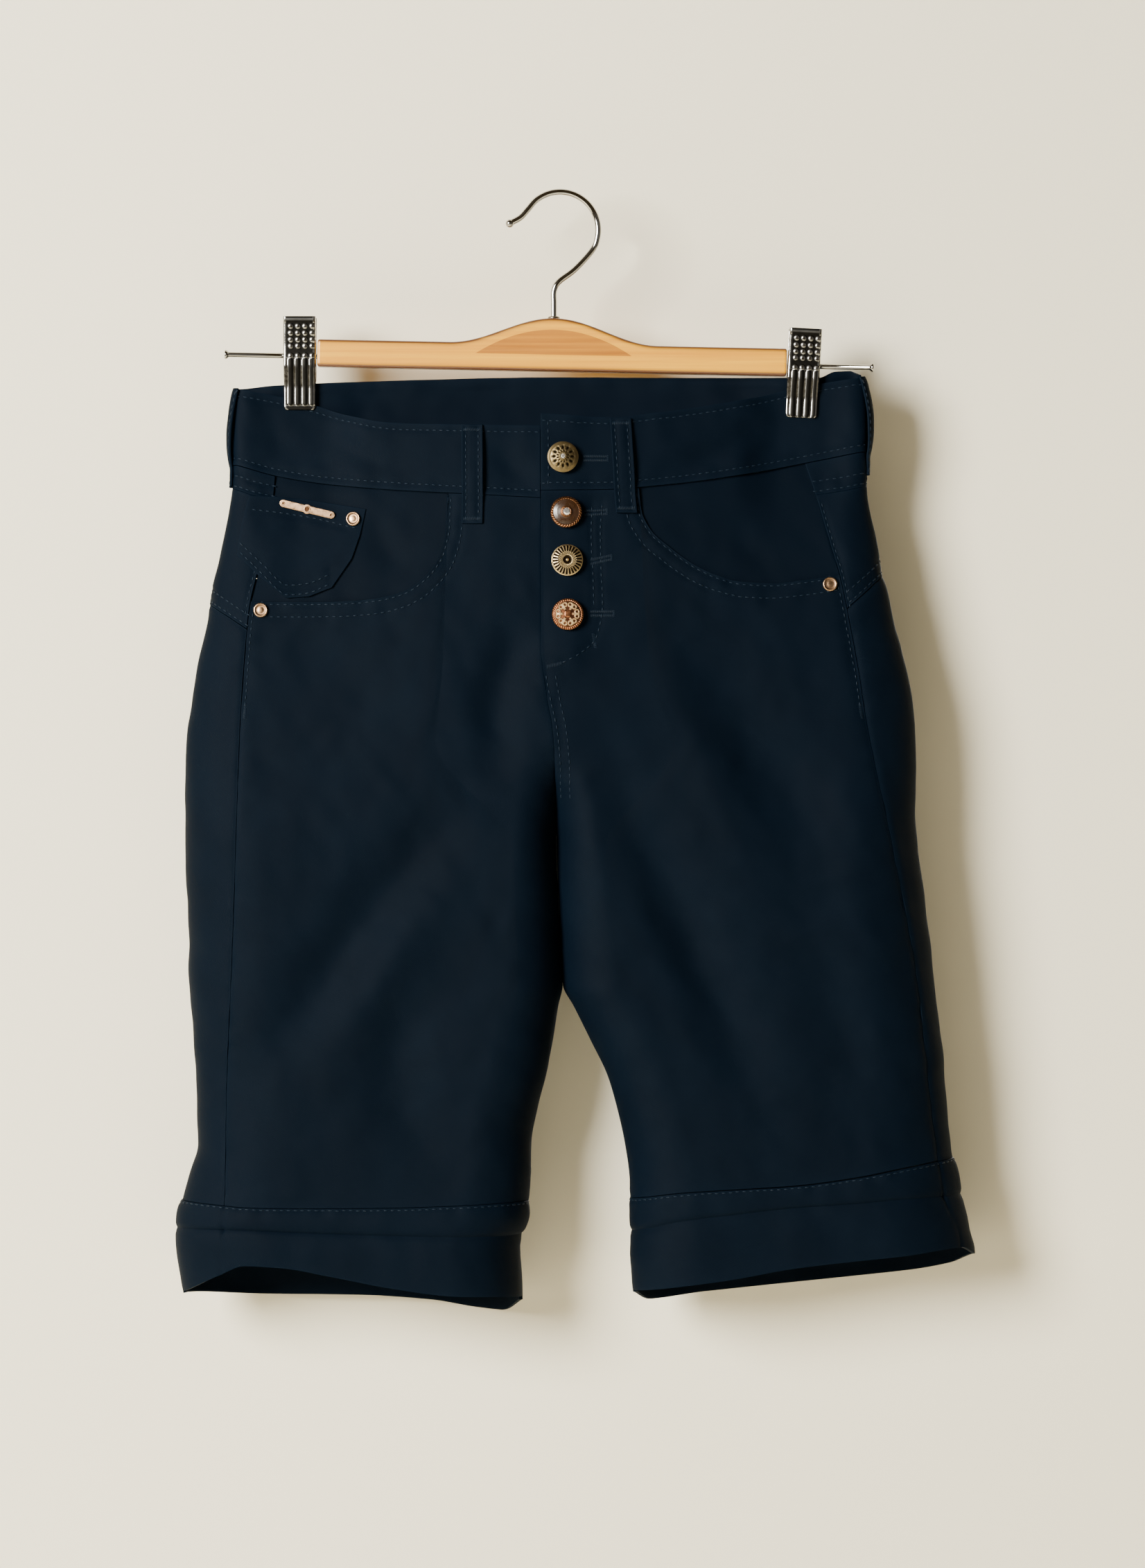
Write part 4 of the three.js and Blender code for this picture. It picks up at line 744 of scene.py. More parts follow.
def cloth_piece(
        node, points, normals, thickness, painted_shade_kind, flat, held="hung", on=(), seams=(), deep_seams_and_painted_shade=(), wrap=False):
    """One cut piece of cloth from a grid of points and normals in millimetres.

    The seams sink into it, the piece gets its thickness and round edges, and it is kept for the
    stitches, which lie on its outer face.
    """
    across = np.linalg.norm(np.diff(points, axis=1), axis=-1)
    down = np.linalg.norm(np.diff(points, axis=0), axis=-1)
    u = np.concatenate([np.zeros((len(points), 1)), np.cumsum(across, axis=1)], axis=1)
    v = np.concatenate([np.zeros((1, points.shape[1])), np.cumsum(down, axis=0)], axis=0)
    to_edge = np.minimum(v, v[-1] - v)
    if not wrap:
        to_edge = np.minimum(to_edge, np.minimum(u, u[:, -1:] - u))
    x = points[..., 0]
    z = points[..., 2]
    lift = 0.55 * lattice_noise((x + z) / 30 + 5, (z - x) / 52, 3) + 0.2 * lattice_noise(x / 9, z / 12, 8)
    lift += 0.32 * lattice_noise((x - z) / 21 + 9, (z + x) / 13, 6)
    lift *= smooth(0, 8, to_edge)
    for seed, line in enumerate(seams):
        lift = lift + seam_relief(points, line, seed + len(node))
    for line in deep_seams_and_painted_shade:
        lift = lift + seam_relief(points, line, 5, 1.3, 1.0, 0.1)
    points = points + normals * lift[..., None]
    edge = np.exp(-to_edge / 1.1)
    cut = np.stack([u, v], axis=-1) * MM
    bm = bent_grid(points * MM, cut=cut, wrap=wrap, marks={"edge": edge})
    bm.normal_update()
    middle = bm.faces[:][len(bm.faces) // 2]
    wanted = normals.reshape(-1, 3)[np.argmin(
        np.linalg.norm(points.reshape(-1, 3) * MM - np.array(middle.calc_center_median()), axis=1))]
    if np.dot(middle.normal, wanted) < 0:
        bmesh.ops.reverse_faces(bm, faces=bm.faces)
    SEWN[node] = (BVHTree.FromBMesh(bm), thickness / 2)
    piece = add_piece(node + "_cloth", bm, cotton(painted_shade_kind), (node,))
    wall = piece.modifiers.new("Cloth thickness", "SOLIDIFY")
    wall.thickness = thickness * MM
    wall.offset = 0
    rim = piece.modifiers.new("Turned edges", "BEVEL")
    rim.limit_method = "ANGLE"
    rim.angle_limit = math.radians(55)
    rim.width = thickness * 0.3 * MM
    rim.segments = 2
    return piece


def grid_of(us, vs):
    return np.meshgrid(us, vs)


def sew_patch(node, side, edges, size, step, thickness, painted_shade_kind, flat, lift=None, **more):
    """A cut piece between four edges on one half."""
    u, v = grid_of(ticks(size[0], step), ticks(size[1], step))
    ring, z = patch(edges, u, v)
    rise = np.zeros_like(z) if lift is None else lift(shell_spot(side, ring, z)[..., 0], z)
    points, normals = on_shell(side, ring, z, rise)
    return cloth_piece(node, points, normals, thickness, painted_shade_kind, flat, **more)


def front_edges(side):
    """The fronts' edges: the top follows the pocket mouth, then the waist seam."""
    seam = WAIST["front_" + side]
    mouth = MOUTH[side]
    start = mouth["x"][-1]
    centre_top = look_up(seam, "x", "seam", look_up(INNER, "z", side, -95.0)) - HALF_GAP
    end = inner_edge(side, np.asarray(centre_top), np.asarray(False))
    first_z = mouth["z"][0] - HALF_GAP
    first = shift_ring(side, side_seam_ring(side, np.asarray(first_z)), first_z, HALF_GAP)

    def top(u):
        mx, mz = soft_line(mouth, u / MOUTH_SHARE)
        wx = lerp(start, end, (u - MOUTH_SHARE) / (1 - MOUTH_SHARE))
        on_mouth = u <= MOUTH_SHARE
        x = np.where(on_mouth, mx, wx)
        z = np.where(on_mouth, mz, look_up(seam, "x", "seam", wx)) - HALF_GAP
        ring = ring_at(side, x, z)
        return np.where(u <= 0, first, np.where(u >= 1, 1, ring)), np.where(u <= 0, first_z, z)

    side_x = look_up(SIDE_SEAM, "z", side, float(CUFF_LEVEL))
    side_bottom = look_up(CUFF["front_" + side], "x", "stitch", side_x) + HALF_GAP

    def left(v):
        z = lerp(first_z, side_bottom, v)
        return shift_ring(side, side_seam_ring(side, z), z, HALF_GAP), z

    corner = left(np.array([1.0]))[0][0]

    def bottom(u):
        ring = lerp(corner, 1, u)
        return ring, seam_height(CUFF, "stitch", side, ring) + HALF_GAP

    def right(v):
        one = np.array([1.0])
        return np.ones_like(v), lerp(top(one)[1][0], bottom(one)[1][0], v)

    return {"top": top, "bottom": bottom, "left": left, "right": right}


def back_edges(side, upper, lower):
    """A back piece's edges, between two crosswise seams, from the back centre to the side seam."""
    def seam_end(height_at):
        ring = np.array([0.3])
        for _ in range(6):
            ring = side_seam_ring(side, height_at(ring))
        return shift_ring(side, ring, height_at(ring), -HALF_GAP)[0]

    def top_at(ring):
        return seam_height(upper[0], upper[1], side, ring) - (0 if upper[1] == "band" else HALF_GAP)

    def bottom_at(ring):
        return seam_height(lower[0], lower[1], side, ring) + (0 if lower[1] == "band" else HALF_GAP)

    top_end = seam_end(top_at)
    bottom_end = seam_end(bottom_at)
    ends = {"top": (top_at, top_end), "bottom": (bottom_at, bottom_end)}
    corner = {key: (height_at(np.array([-1.0]))[0], height_at(np.array([end]))[0])
              for key, (height_at, end) in ends.items()}

    def level(key):
        height_at, end = ends[key]
        return lambda u: (lerp(-1, end, u), height_at(lerp(-1, end, u)))

    def left(v):
        return -np.ones_like(v), lerp(corner["top"][0], corner["bottom"][0], v)

    def right(v):
        z = lerp(corner["top"][1], corner["bottom"][1], v)
        ring = shift_ring(side, side_seam_ring(side, z), z, -HALF_GAP)
        return np.where((v <= 0) | (v >= 1), lerp(top_end, bottom_end, v), ring), z

    return {"top": level("top"), "bottom": level("bottom"), "left": left, "right": right}


# Node helpers

def add_node(tree, kind, inputs=None, **values):
    """A node with its properties set, and each input set or linked."""
    made = tree.nodes.new(kind)
    for key, value in values.items():
        setattr(made, key, value)
    for key, value in (inputs or {}).items():
        socket = made.inputs[key]
        if isinstance(value, bpy.types.NodeSocket):
            tree.links.new(value, socket)
        else:
            socket.default_value = value
    return made


def maths(tree, operation, first, second=0.0, clamp=False):
    made = add_node(tree, "ShaderNodeMath", {0: first, 1: second}, operation=operation, use_clamp=clamp)
    return made.outputs[0]


def times(tree, first, second, clamp=False):
    return maths(tree, "MULTIPLY", first, second, clamp)


def plus(tree, first, second, clamp=False):
    return maths(tree, "ADD", first, second, clamp)


def mix_colour(tree, share, first, second):
    return add_node(tree, "ShaderNodeMix", {0: share, 6: first, 7: second}, data_type="RGBA").outputs[2]


def noise(tree, vector, scale, detail=2.0, roughness=0.5):
    made = add_node(
        tree, "ShaderNodeTexNoise",
        {"Vector": vector, "Scale": scale, "Detail": detail, "Roughness": roughness},
    )
    return made.outputs[0]


def stretched(tree, vector, scale):
    made = add_node(tree, "ShaderNodeMapping", {"Vector": vector, "Scale": scale})
    return made.outputs[0]


def build_weave(tree, given):
    """Slanting satin ribs, with uneven yarns across them."""
    axes = add_node(tree, "ShaderNodeSeparateXYZ", {0: given["Vector"]}).outputs
    slant = plus(tree, axes["X"], times(tree, axes["Y"], given["Slant"]))
    turns = times(tree, maths(tree, "DIVIDE", slant, given["Pitch"]), 2 * math.pi)
    ribs = maths(tree, "SINE", turns)
    yarn = noise(tree, stretched(tree, given["Vector"], (900, 3200, 1)), 1.0)
    height = plus(tree, times(tree, ribs, 0.3), yarn)
    return {"Height": height, "Mask": times(tree, yarn, yarn)}


def build_dye(tree, given):
    """Dyed cotton: cloudy at the scale of a hand, mottled at the scale of the yarn, paler at its edges."""
    cloud = noise(tree, given["Vector"], 24.0, 3.0)
    heather = noise(tree, stretched(tree, given["Vector"], (700, 1900, 1)), 1.0, 2.0)
    spread = plus(tree, times(tree, cloud, 0.6), times(tree, heather, 0.4))
    share = times(tree, maths(tree, "SUBTRACT", spread, 0.25), given["Mottle"], clamp=True)
    worn = times(tree, given["Edge"], given["Wear"])
    colour = mix_colour(tree, share, given["Dye"], given["Faded"])
    return {"Color": mix_colour(tree, worn, colour, given["Faded"]), "Mask": heather}


def build_patina_and_painted_reflection(tree, given):
    """Metal that is bright where it is rubbed and dark in its hollows. On the clip jaws the same mask is a
    painted reflection: dark on the flat sheet and the rib tops, bright on the bump tops.
    """
    cloud = noise(tree, given["Vector"], 420.0, 3.0)
    dark = plus(tree, given["Hollows_and_painted_reflection"], times(tree, cloud, given["Tarnish"]), clamp=True)
    rough = plus(tree, times(tree, dark, 0.3), times(tree, cloud, 0.3))
    return {"Color": mix_colour(tree, dark, given["Bright"], given["Dark"]), "Roughness": rough}


def build_grain(tree, given):
    """Straight wood grain along X: broad bands and fine pores."""
    bands = noise(tree, stretched(tree, given["Vector"], (7, 150, 420)), 1.0, 4.0, 0.55)
    pores = noise(tree, stretched(tree, given["Vector"], (45, 1500, 2600)), 1.0, 2.0)
    share = times(tree, maths(tree, "SUBTRACT", bands, 0.32), given["Contrast"], clamp=True)
    colour = mix_colour(tree, share, given["Light"], given["Dark"])
    fine = times(tree, maths(tree, "SUBTRACT", pores, 0.5), 0.7, clamp=True)
    return {"Color": mix_colour(tree, fine, colour, given["Dark"]), "Height": pores, "Mask": bands}


# Node groups: name, function, inputs with their values and outputs. An input with no value is a vector.
WHITE = (1, 1, 1, 1)
GROUPS = {
    "weave": (
        "Satin weave", build_weave, {"Vector": None, "Pitch": 0.0006, "Slant": 0.55}, ("Height", "Mask"),
    ),
    "dye": (
        "Cotton dye", build_dye,
        {"Vector": None, "Dye": WHITE, "Faded": WHITE, "Mottle": 1.0, "Edge": 0.0, "Wear": 0.5},
        ("Color", "Mask"),
    ),
    "patina_and_painted_reflection": (
        "Metal patina and painted reflection", build_patina_and_painted_reflection,
        {"Vector": None, "Bright": WHITE, "Dark": WHITE, "Hollows_and_painted_reflection": 0.0, "Tarnish": 0.2},
        ("Color", "Roughness"),
    ),
    "grain": (
        "Wood grain", build_grain, {"Vector": None, "Light": WHITE, "Dark": WHITE, "Contrast": 1.5},
        ("Color", "Height", "Mask"),
    ),
}


def socket_kind(label, value):
    if label == "Vector":
        return "NodeSocketVector"
    return "NodeSocketColor" if value == WHITE or label == "Color" else "NodeSocketFloat"


def place_group(tree, key, inputs):
    """A node group in a material. Its tree is built the first time that it is placed."""
    name, build, defaults, outputs = GROUPS[key]
    group = bpy.data.node_groups.get(name)
    if group is None:
        group = bpy.data.node_groups.new(name, "ShaderNodeTree")
        for label, value in defaults.items():
            kind = socket_kind(label, value)
            socket = group.interface.new_socket(label, in_out="INPUT", socket_type=kind)
            if value is not None:
                socket.default_value = value
        for label in outputs:
            kind = socket_kind(label, None)
            group.interface.new_socket(label, in_out="OUTPUT", socket_type=kind)
        given = group.nodes.new("NodeGroupInput").outputs
        result = group.nodes.new("NodeGroupOutput").inputs
        for label, socket in build(group, given).items():
            group.links.new(socket, result[label])
    return add_node(tree, "ShaderNodeGroup", inputs, node_tree=group).outputs


def start_material(name, **values):
    """A new material with its Principled shader's own numbers and colours set."""
    material = bpy.data.materials.new(name)
    material.use_nodes = True
    shader = material.node_tree.nodes["Principled BSDF"]
    for key, value in values.items():
        shader.inputs[key.replace("_", " ")].default_value = value
    return material, material.node_tree, shader


def object_place(tree):
    return add_node(tree, "ShaderNodeTexCoord").outputs["Object"]


def mark(tree, name):
    return add_node(tree, "ShaderNodeAttribute", attribute_name=name).outputs["Fac"]


def paint(tree, shader, colour, rough=None):
    """Links a shader's colour and roughness."""
    tree.links.new(colour, shader.inputs["Base Color"])
    if rough is not None:
        tree.links.new(rough, shader.inputs["Roughness"])


def bump(tree, shader, height, depth, strength):
    made = add_node(
        tree, "ShaderNodeBump", {"Height": height, "Distance": depth, "Strength": strength})
    tree.links.new(made.outputs["Normal"], shader.inputs["Normal"])


def rgba(colour, factor=1.0):
    return (colour[0] * factor, colour[1] * factor, colour[2] * factor, 1)


def look():
    return bpy.context.scene.shorts_look


@functools.cache
def cotton(painted_shade_kind):
    """Navy satin cotton. The pocket facings and the fly underlay get a copy that is darkened as painted
    shade.
    """
    # The facing copy's dye and faded colour are darkened by 8%: painted shade.
    deep_seams_and_painted_shade = {"cloth": 1.0, "facing": 0.92}[painted_shade_kind]
    material, tree, shader = start_material(
        "Navy cotton " + painted_shade_kind, Roughness=0.72, Sheen_Weight=look().sheen, Sheen_Roughness=0.45,
        Specular_IOR_Level=0.03)
    shader.inputs["Sheen Tint"].default_value = rgba(look().sheen_colour)
    place = add_node(tree, "ShaderNodeUVMap", uv_map="cut").outputs[0]
    dyed = place_group(tree, "dye", {
        "Vector": place, "Dye": rgba(look().dye, deep_seams_and_painted_shade), "Faded": rgba(look().faded, deep_seams_and_painted_shade),
        "Mottle": 1.3, "Edge": mark(tree, "edge"), "Wear": 0.55,
    })
    weave = place_group(tree, "weave", {"Vector": place, "Pitch": 0.0007})
    paint(tree, shader, dyed["Color"], plus(tree, times(tree, dyed["Mask"], 0.25), 0.5))
    bump(tree, shader, weave["Height"], 0.00012, 0.5)
    return material


@functools.cache
def thread():
    material, tree, shader = start_material("Navy thread", Specular_IOR_Level=0.12)
    place = object_place(tree)
    twist = noise(tree, place, 2600.0, 1.0)
    colour = mix_colour(tree, twist, rgba(look().thread, 0.7), rgba(look().thread, 1.3))
    paint(tree, shader, colour, plus(tree, times(tree, twist, 0.3), 0.35))
    bump(tree, shader, twist, 0.0001, 0.5)
    return material


@functools.cache
def metal(name, bright, dark, tarnish=0.2, gloss=0.2, region=None):
    """Aged metal, dark in its hollows and, on the clip jaws, dark and bright in a painted reflection, with
    an optional second colour where the region mask is set.
    """
    material, tree, shader = start_material(name, Metallic=1.0)
    place = object_place(tree)
    patina_and_painted_reflection = place_group(tree, "patina_and_painted_reflection", {
        "Vector": place, "Bright": rgba(bright), "Dark": rgba(dark),
        "Hollows_and_painted_reflection": mark(tree, "hollows_and_painted_reflection"), "Tarnish": tarnish,
    })
    colour = patina_and_painted_reflection["Color"]
    rough = plus(tree, patina_and_painted_reflection["Roughness"], gloss)
    if region:
        inside = mark(tree, "region")
        colour = mix_colour(tree, inside, colour, rgba(region))
        solid = maths(tree, "SUBTRACT", 1.0, inside)
        tree.links.new(solid, shader.inputs["Metallic"])
    paint(tree, shader, colour, rough)
    bump(tree, shader, noise(tree, place, 1800.0, 2.0), 0.00005, 0.25)
    return material


@functools.cache
def chrome(name="Chrome", colour=(0.4, 0.395, 0.38), gloss=0.05):
    material, tree, shader = start_material(name, Metallic=1.0)
    place = object_place(tree)
    cloud = noise(tree, place, 260.0, 3.0)
    rough = plus(tree, times(tree, cloud, 0.08), gloss)
    paint(tree, shader, mix_colour(tree, cloud, rgba(colour, 0.92), rgba(colour, 1.08)), rough)
    bump(tree, shader, noise(tree, place, 150.0, 1.0), 0.0001, 0.12)
    return material


@functools.cache
def wood(name, light, dark, contrast):
    """Varnished wood with fine straight grain, brown where its edges are marked."""
    material, tree, shader = start_material(name, Coat_Weight=0.5, Coat_Roughness=0.12, Roughness=0.42)
    place = object_place(tree)
    grain = place_group(tree, "grain", {
        "Vector": place, "Light": rgba(light), "Dark": rgba(dark), "Contrast": contrast})
    worn = times(tree, mark(tree, "edge"), plus(tree, grain["Mask"], 0.75), clamp=True)
    colour = mix_colour(tree, worn, grain["Color"], rgba(look().wood_edge))
    paint(tree, shader, colour, plus(tree, times(tree, grain["Height"], 0.2), 0.3))
    bump(tree, shader, grain["Height"], 0.00008, 0.35)
    return material


@functools.cache
def crystal():
    material, tree, shader = start_material(
        "Cut crystal", Metallic=0.85, Coat_Weight=1.0, Coat_Roughness=0.03)
    glint = noise(tree, object_place(tree), 900.0, 1.0)
    colour = mix_colour(tree, glint, rgba((0.5, 0.53, 0.56)), rgba((0.95, 0.96, 0.97)))
    paint(tree, shader, colour, times(tree, glint, 0.2))
    return material


# Settings

def length_setting(name, description, default):
    return bpy.props.FloatProperty(
        name=name, description=description, default=default, unit="LENGTH", subtype="DISTANCE")


def colour_setting(name, description, default):
    return bpy.props.FloatVectorProperty(
        name=name, description=description, default=default, subtype="COLOR")


def power_setting(name, description, default):
    return bpy.props.FloatProperty(name=name, description=description, default=default, unit="POWER")


class ShortsCloth(bpy.types.PropertyGroup):
    step: length_setting("Cloth grid", "Spacing of the cloth grid", 0.0021)
    stitch_pitch: length_setting("Stitch pitch", "From one stitch to the next", 0.0037)
    stitch_length: length_setting("Stitch length", "Length of a stitch on the face", 0.0025)
    thread_width: length_setting("Thread width", "Thickness of the topstitching thread", 0.00085)


class ShortsLook(bpy.types.PropertyGroup):
    dye: colour_setting("Dye", "The cotton's own colour", (0.0007, 0.0026, 0.0061))
    faded: colour_setting("Faded", "The cotton where it is worn", (0.0015, 0.005, 0.011))
    sheen: bpy.props.FloatProperty(
        name="Sheen", description="How much the cotton's nap catches the light",
        default=0.002, subtype="FACTOR")
    sheen_colour: colour_setting("Sheen colour", "Colour of the nap", (0.45, 0.6, 0.8))
    thread: colour_setting("Thread", "Colour of the topstitching", (0.0026, 0.008, 0.0165))
    wood_edge: colour_setting("Wood edge", "Brown of the hanger's edges", (0.09, 0.028, 0.006))


class ShortsStage(bpy.types.PropertyGroup):
    distance: length_setting("Camera distance", "From the lens to the plane of the hanger", 3.0)
    height: length_setting("Picture height", "Height of the picture at the hanger", 0.8554)
    across: length_setting("Picture centre X", "Where the lens points, across", 0.0068)
    level: length_setting("Picture centre Z", "Where the lens points, in height", -0.3214)
    wall: length_setting("Wall distance", "From the hanger to the wall behind it", 0.045)
    key: power_setting("Key light", "Power of the key light", 322.0)
    fill: power_setting("Fill light", "Power of the fill light", 1.5)
    back: power_setting("Back light", "Power of the light behind the wall", 160.0)


def cloth_step():
    return bpy.context.scene.shorts_cloth.step / MM


# Cloth pieces

def build_front(side):
    top = MOUTH[side]["z"][0] - 2
    seams = [mouth_seam(side, offset) for offset in MOUTH_ROWS]
    seams += [side_seam(side, top, -282, SIDE_ROW), side_seam(side, top, -545, 0.4)]
    if side == "L":
        seams += [level_line(side, 1.0, -166, -272, -1.6), front_line(side, *FLY_CURVE)]
        seams += [front_line(side, *FLY_CURVE_INNER), level_line(side, 1.0, -276, -318, -4.2)]
    else:
        seams += [level_line(side, 1.0, -180, -318, 0.6)]
    return sew_patch(
        "front_panel_" + side, side, front_edges(side), (240, 390), cloth_step(), CLOTH, "cloth",
        (0.24, 0.39, {"R": 0.0621, "L": 0.0644}[side]), lift=lambda x, z: lap_lift(side, x, z),
        on=("hanger_bar", "waistband_front_" + side), seams=seams,
    )


def build_back_panel(side):
    edges = back_edges(side, (YOKE, "yoke"), (CUFF, "stitch"))
    seams = [
        cross_seam(side, YOKE, "yoke", -0.6, -1.0, 0.4),
        level_line(side, -1.0, -215, -540, 1.6),
        side_seam(side, -240, -545, -0.4),
    ]
    return sew_patch(
        "back_panel_" + side, side, edges, (290, 350), cloth_step(), CLOTH, "cloth",
        (0.29, 0.35, {"R": 0.0839, "L": 0.0783}[side]), on=("hanger_bar", "back_yoke_" + side), seams=seams,
    )


def build_yoke(side):
    edges = back_edges(side, (YOKE, "band"), (YOKE, "yoke"))
    seams = [cross_seam(side, YOKE, "yoke", offset, -1.0, 0.4) for offset in YOKE_ROWS]
    seams += [side_seam(side, -168, -230, YOKE_SIDE_ROW), level_line(side, -1.0, -160, -205, 1.6)]
    return sew_patch(
        "back_yoke_" + side, side, edges, (230, 50), cloth_step(), CLOTH, "cloth",
        (0.21, 0.08, {"R": 0.0099, "L": 0.009}[side]), on=("hanger_bar", "back_band_" + side), seams=seams,
    )


def build_band(side):
    edges = back_edges(side, (WAIST, "seam"), (YOKE, "band"))
    seams = [cross_seam(side, YOKE, "band", offset, -1.0, 0.4) for offset in YOKE_ROWS]
    return sew_patch(
        "back_band_" + side, side, edges, (210, 16), cloth_step() * 0.8, CLOTH, "cloth",
        (0.2, 0.024, {"R": 0.00275, "L": 0.0034}[side]), on=("hanger_bar", "waistband_back"), seams=seams,
    )


def build_waistband(node, side, from_ring, to_ring, flat):
    """One of the three waistband pieces, between ring positions of one half."""
    forward = from_ring < to_ring
    level = np.asarray(float(WAIST_LEVEL))
    start = shift_ring(side, np.asarray(float(from_ring)), level, HALF_GAP if forward else -HALF_GAP)
    end = np.asarray(float(to_ring))
    if abs(to_ring) != 1:
        end = shift_ring(side, end, level, -HALF_GAP if forward else HALF_GAP)
    span = float(abs(end - start)) * 176
    u, v = grid_of(ticks(span, cloth_step()), ticks(44, cloth_step() * 0.8))
    ring = lerp(start, end, u)
    top = seam_height(WAIST, "top", side, ring)
    bottom = seam_height(WAIST, "seam", side, ring) + HALF_GAP
    z = lerp(top, bottom, v)
    x = shell_spot(side, ring, z)[..., 0]
    rise = np.where(ring > 0, lap_lift(side, x, z), 0)
    points, normals = on_shell(side, ring, z, rise)
    seams = [
        cross_seam(side, WAIST, column, offset, from_ring, to_ring)
        for column, offset in WAISTBAND_ROWS.items()]
    clips = ("clip_front_" + side, "clip_back_" + side)
    return cloth_piece(node, points, normals, WAISTBAND_CLOTH, "cloth", flat, on=clips, seams=seams)


def build_underlay():
    u, v = grid_of(ticks(45, 1.6), ticks(128, 2))
    x = lerp(UNDERLAY["left"], UNDERLAY["right"], u)
    z = lerp(UNDERLAY["top"], UNDERLAY["bottom"], v)
    right_half = x < look_up(INNER, "z", "R", z)
    under_left = WAISTBAND_CLOTH / 2 + SEAM_GAP + CLOTH / 2 - lap_lift("L", x, z)
    under_right = LAP_DROP + WAISTBAND_CLOTH / 2 + 2 * SEAM_GAP + CLOTH / 2
    drop = lerp(under_right, under_left, smooth(-11, 4, x))
    found = [on_shell(side, ring_at(side, x, z), z, -drop) for side in "RL"]
    points = np.where(right_half[..., None], found[0][0], found[1][0])
    normals = np.where(right_half[..., None], found[0][1], found[1][1])
    return cloth_piece(
        "fly_underlay", points, normals, CLOTH, "facing", (0.046, 0.128, 0.00575), on=("front_panel_L",))


def build_facing(side):
    seam = WAIST["front_" + side]
    inner = FACING[side]["inner"]
    low = FACING[side]["bottom"]
    first_x = float(look_up(SIDE_SEAM, "z", side, float(FACING_LEVEL)))

    def top(u):
        x = lerp(first_x, inner["x"][0], u)
        z = look_up(seam, "x", "seam", x) + FACING_RISE
        shifted = shift_ring(side, side_seam_ring(side, z), z, HALF_GAP)
        return np.where(u <= 0, shifted, ring_at(side, x, z)), z

    first_z = top(np.array([0.0]))[1][0]

    def left(v):
        z = lerp(first_z, low["z"][0], v)
        return shift_ring(side, side_seam_ring(side, z), z, HALF_GAP), z

    last = left(np.array([1.0]))

    def bottom(u):
        x, z = soft_line(low, u)
        return np.where(u <= 0, last[0][0], ring_at(side, x, z)), np.where(u <= 0, last[1][0], z)

    begin = top(np.array([1.0]))

    def right(v):
        x, z = soft_line(inner, v)
        return np.where(v <= 0, begin[0][0], ring_at(side, x, z)), np.where(v <= 0, begin[1][0], z)

    def lift(x, z):
        return -POCKET_DROP - 0.35 * smooth(-FACING_RISE, 1, z - look_up(seam, "x", "seam", x))

    edges = {"top": top, "bottom": bottom, "left": left, "right": right}
    return sew_patch(
        "pocket_facing_" + side, side, edges, (120, 70), cloth_step(), CLOTH, "facing",
        (0.12, 0.08, {"R": 0.0073, "L": 0.0064}[side]), lift=lift, held="stretched",
        on=("waistband_front_" + side,),
    )


def coin_lift(x):
    on_yoke = CLOTH / 2 + SEAM_GAP + COIN_POCKET_CLOTH / 2
    on_facing = CLOTH / 2 - POCKET_DROP + SEAM_GAP + COIN_POCKET_CLOTH / 2
    return lerp(on_yoke, on_facing, smooth(-157, -141, x))


def build_coin_pocket():
    def edge(key):
        def at(share):
            x, z = along(COIN_POCKET[key], share)
            return ring_at("R", x, z), z
        return at

    edges = {"top": edge("top"), "bottom": edge("bottom"), "left": edge("outer"), "right": edge("inner")}
    low = COIN_POCKET["bottom"]
    start_x = low["x"][0] + 3
    end_x = low["x"][-1] - 1
    seams = [front_line("R", (-167, -173), (-140, -176.5), (-115, -183))]
    for start_up, middle, end_up in ((1.5, -216.6, 4), (6.5, -211.2, 9)):
        start = (start_x, low["z"][0] + start_up)
        seams.append(front_line("R", start, (POINT_X, middle), (end_x, low["z"][-1] + end_up)))
    return sew_patch(
        "coin_pocket", "R", edges, (64, 50), 1.6, COIN_POCKET_CLOTH, "cloth", (0.07, 0.06, 0.00295),
        lift=lambda x, z: coin_lift(x), held="stretched", on=("pocket_facing_R",), seams=seams,
    )


def build_cuff(side):
    columns = round(400 / (cloth_step() * 0.62))
    u = np.linspace(-1, 1, columns + 1)
    at = np.interp(np.linspace(0, 1, 30), np.linspace(0, 1, 12), (
        0, 0.06, 0.25, 0.5, 0.78, 0.93, 1, 1.07, 1.3, 1.6, 1.9, 2))
    ring, share = grid_of(u, at)
    stitch, crease, hem = (seam_height(CUFF, name, side, ring) for name in ("stitch", "crease", "hem"))
    z = np.where(share <= 1, lerp(stitch - HALF_GAP, crease, share), lerp(crease, hem, share - 1))
    points, normals = on_shell(side, ring, z, look_up(CUFF_PROFILE, "at", "lift", share))
    seams = [cross_seam(side, CUFF, "stitch", CUFF_ROW, start, start + 1) for start in (-1.0, 0.0)]
    return cloth_piece(
        "cuff_" + side, points, normals, CUFF_CLOTH, "cloth",
        (0.41, 0.053, {"R": 0.0207, "L": 0.0217}[side]),
        on=("front_panel_" + side, "back_panel_" + side), seams=seams, wrap=True,
        deep_seams_and_painted_shade=[side_seam(side, -520, -612, 0.3)],
    )


# Belt loops: half, the top and bottom as ring and z, and the extra lift
LOOPS = {
    "belt_loop_side_R": ("R", (-0.06, -106), (-0.06, -160), 0.5),
    "belt_loop_side_L": ("L", (-0.06, -100), (-0.06, -153), 0.5),
    "belt_loop_back": ("R", (-1, -99.8), (-1, -156), 0),
}
FRONT_LOOPS = {
    "belt_loop_front_R": ("R", (-47.5, -126.4), (-47.5, -180.4)),
    "belt_loop_front_L": ("L", (32.7, -123), (36.1, -174.6)),
}


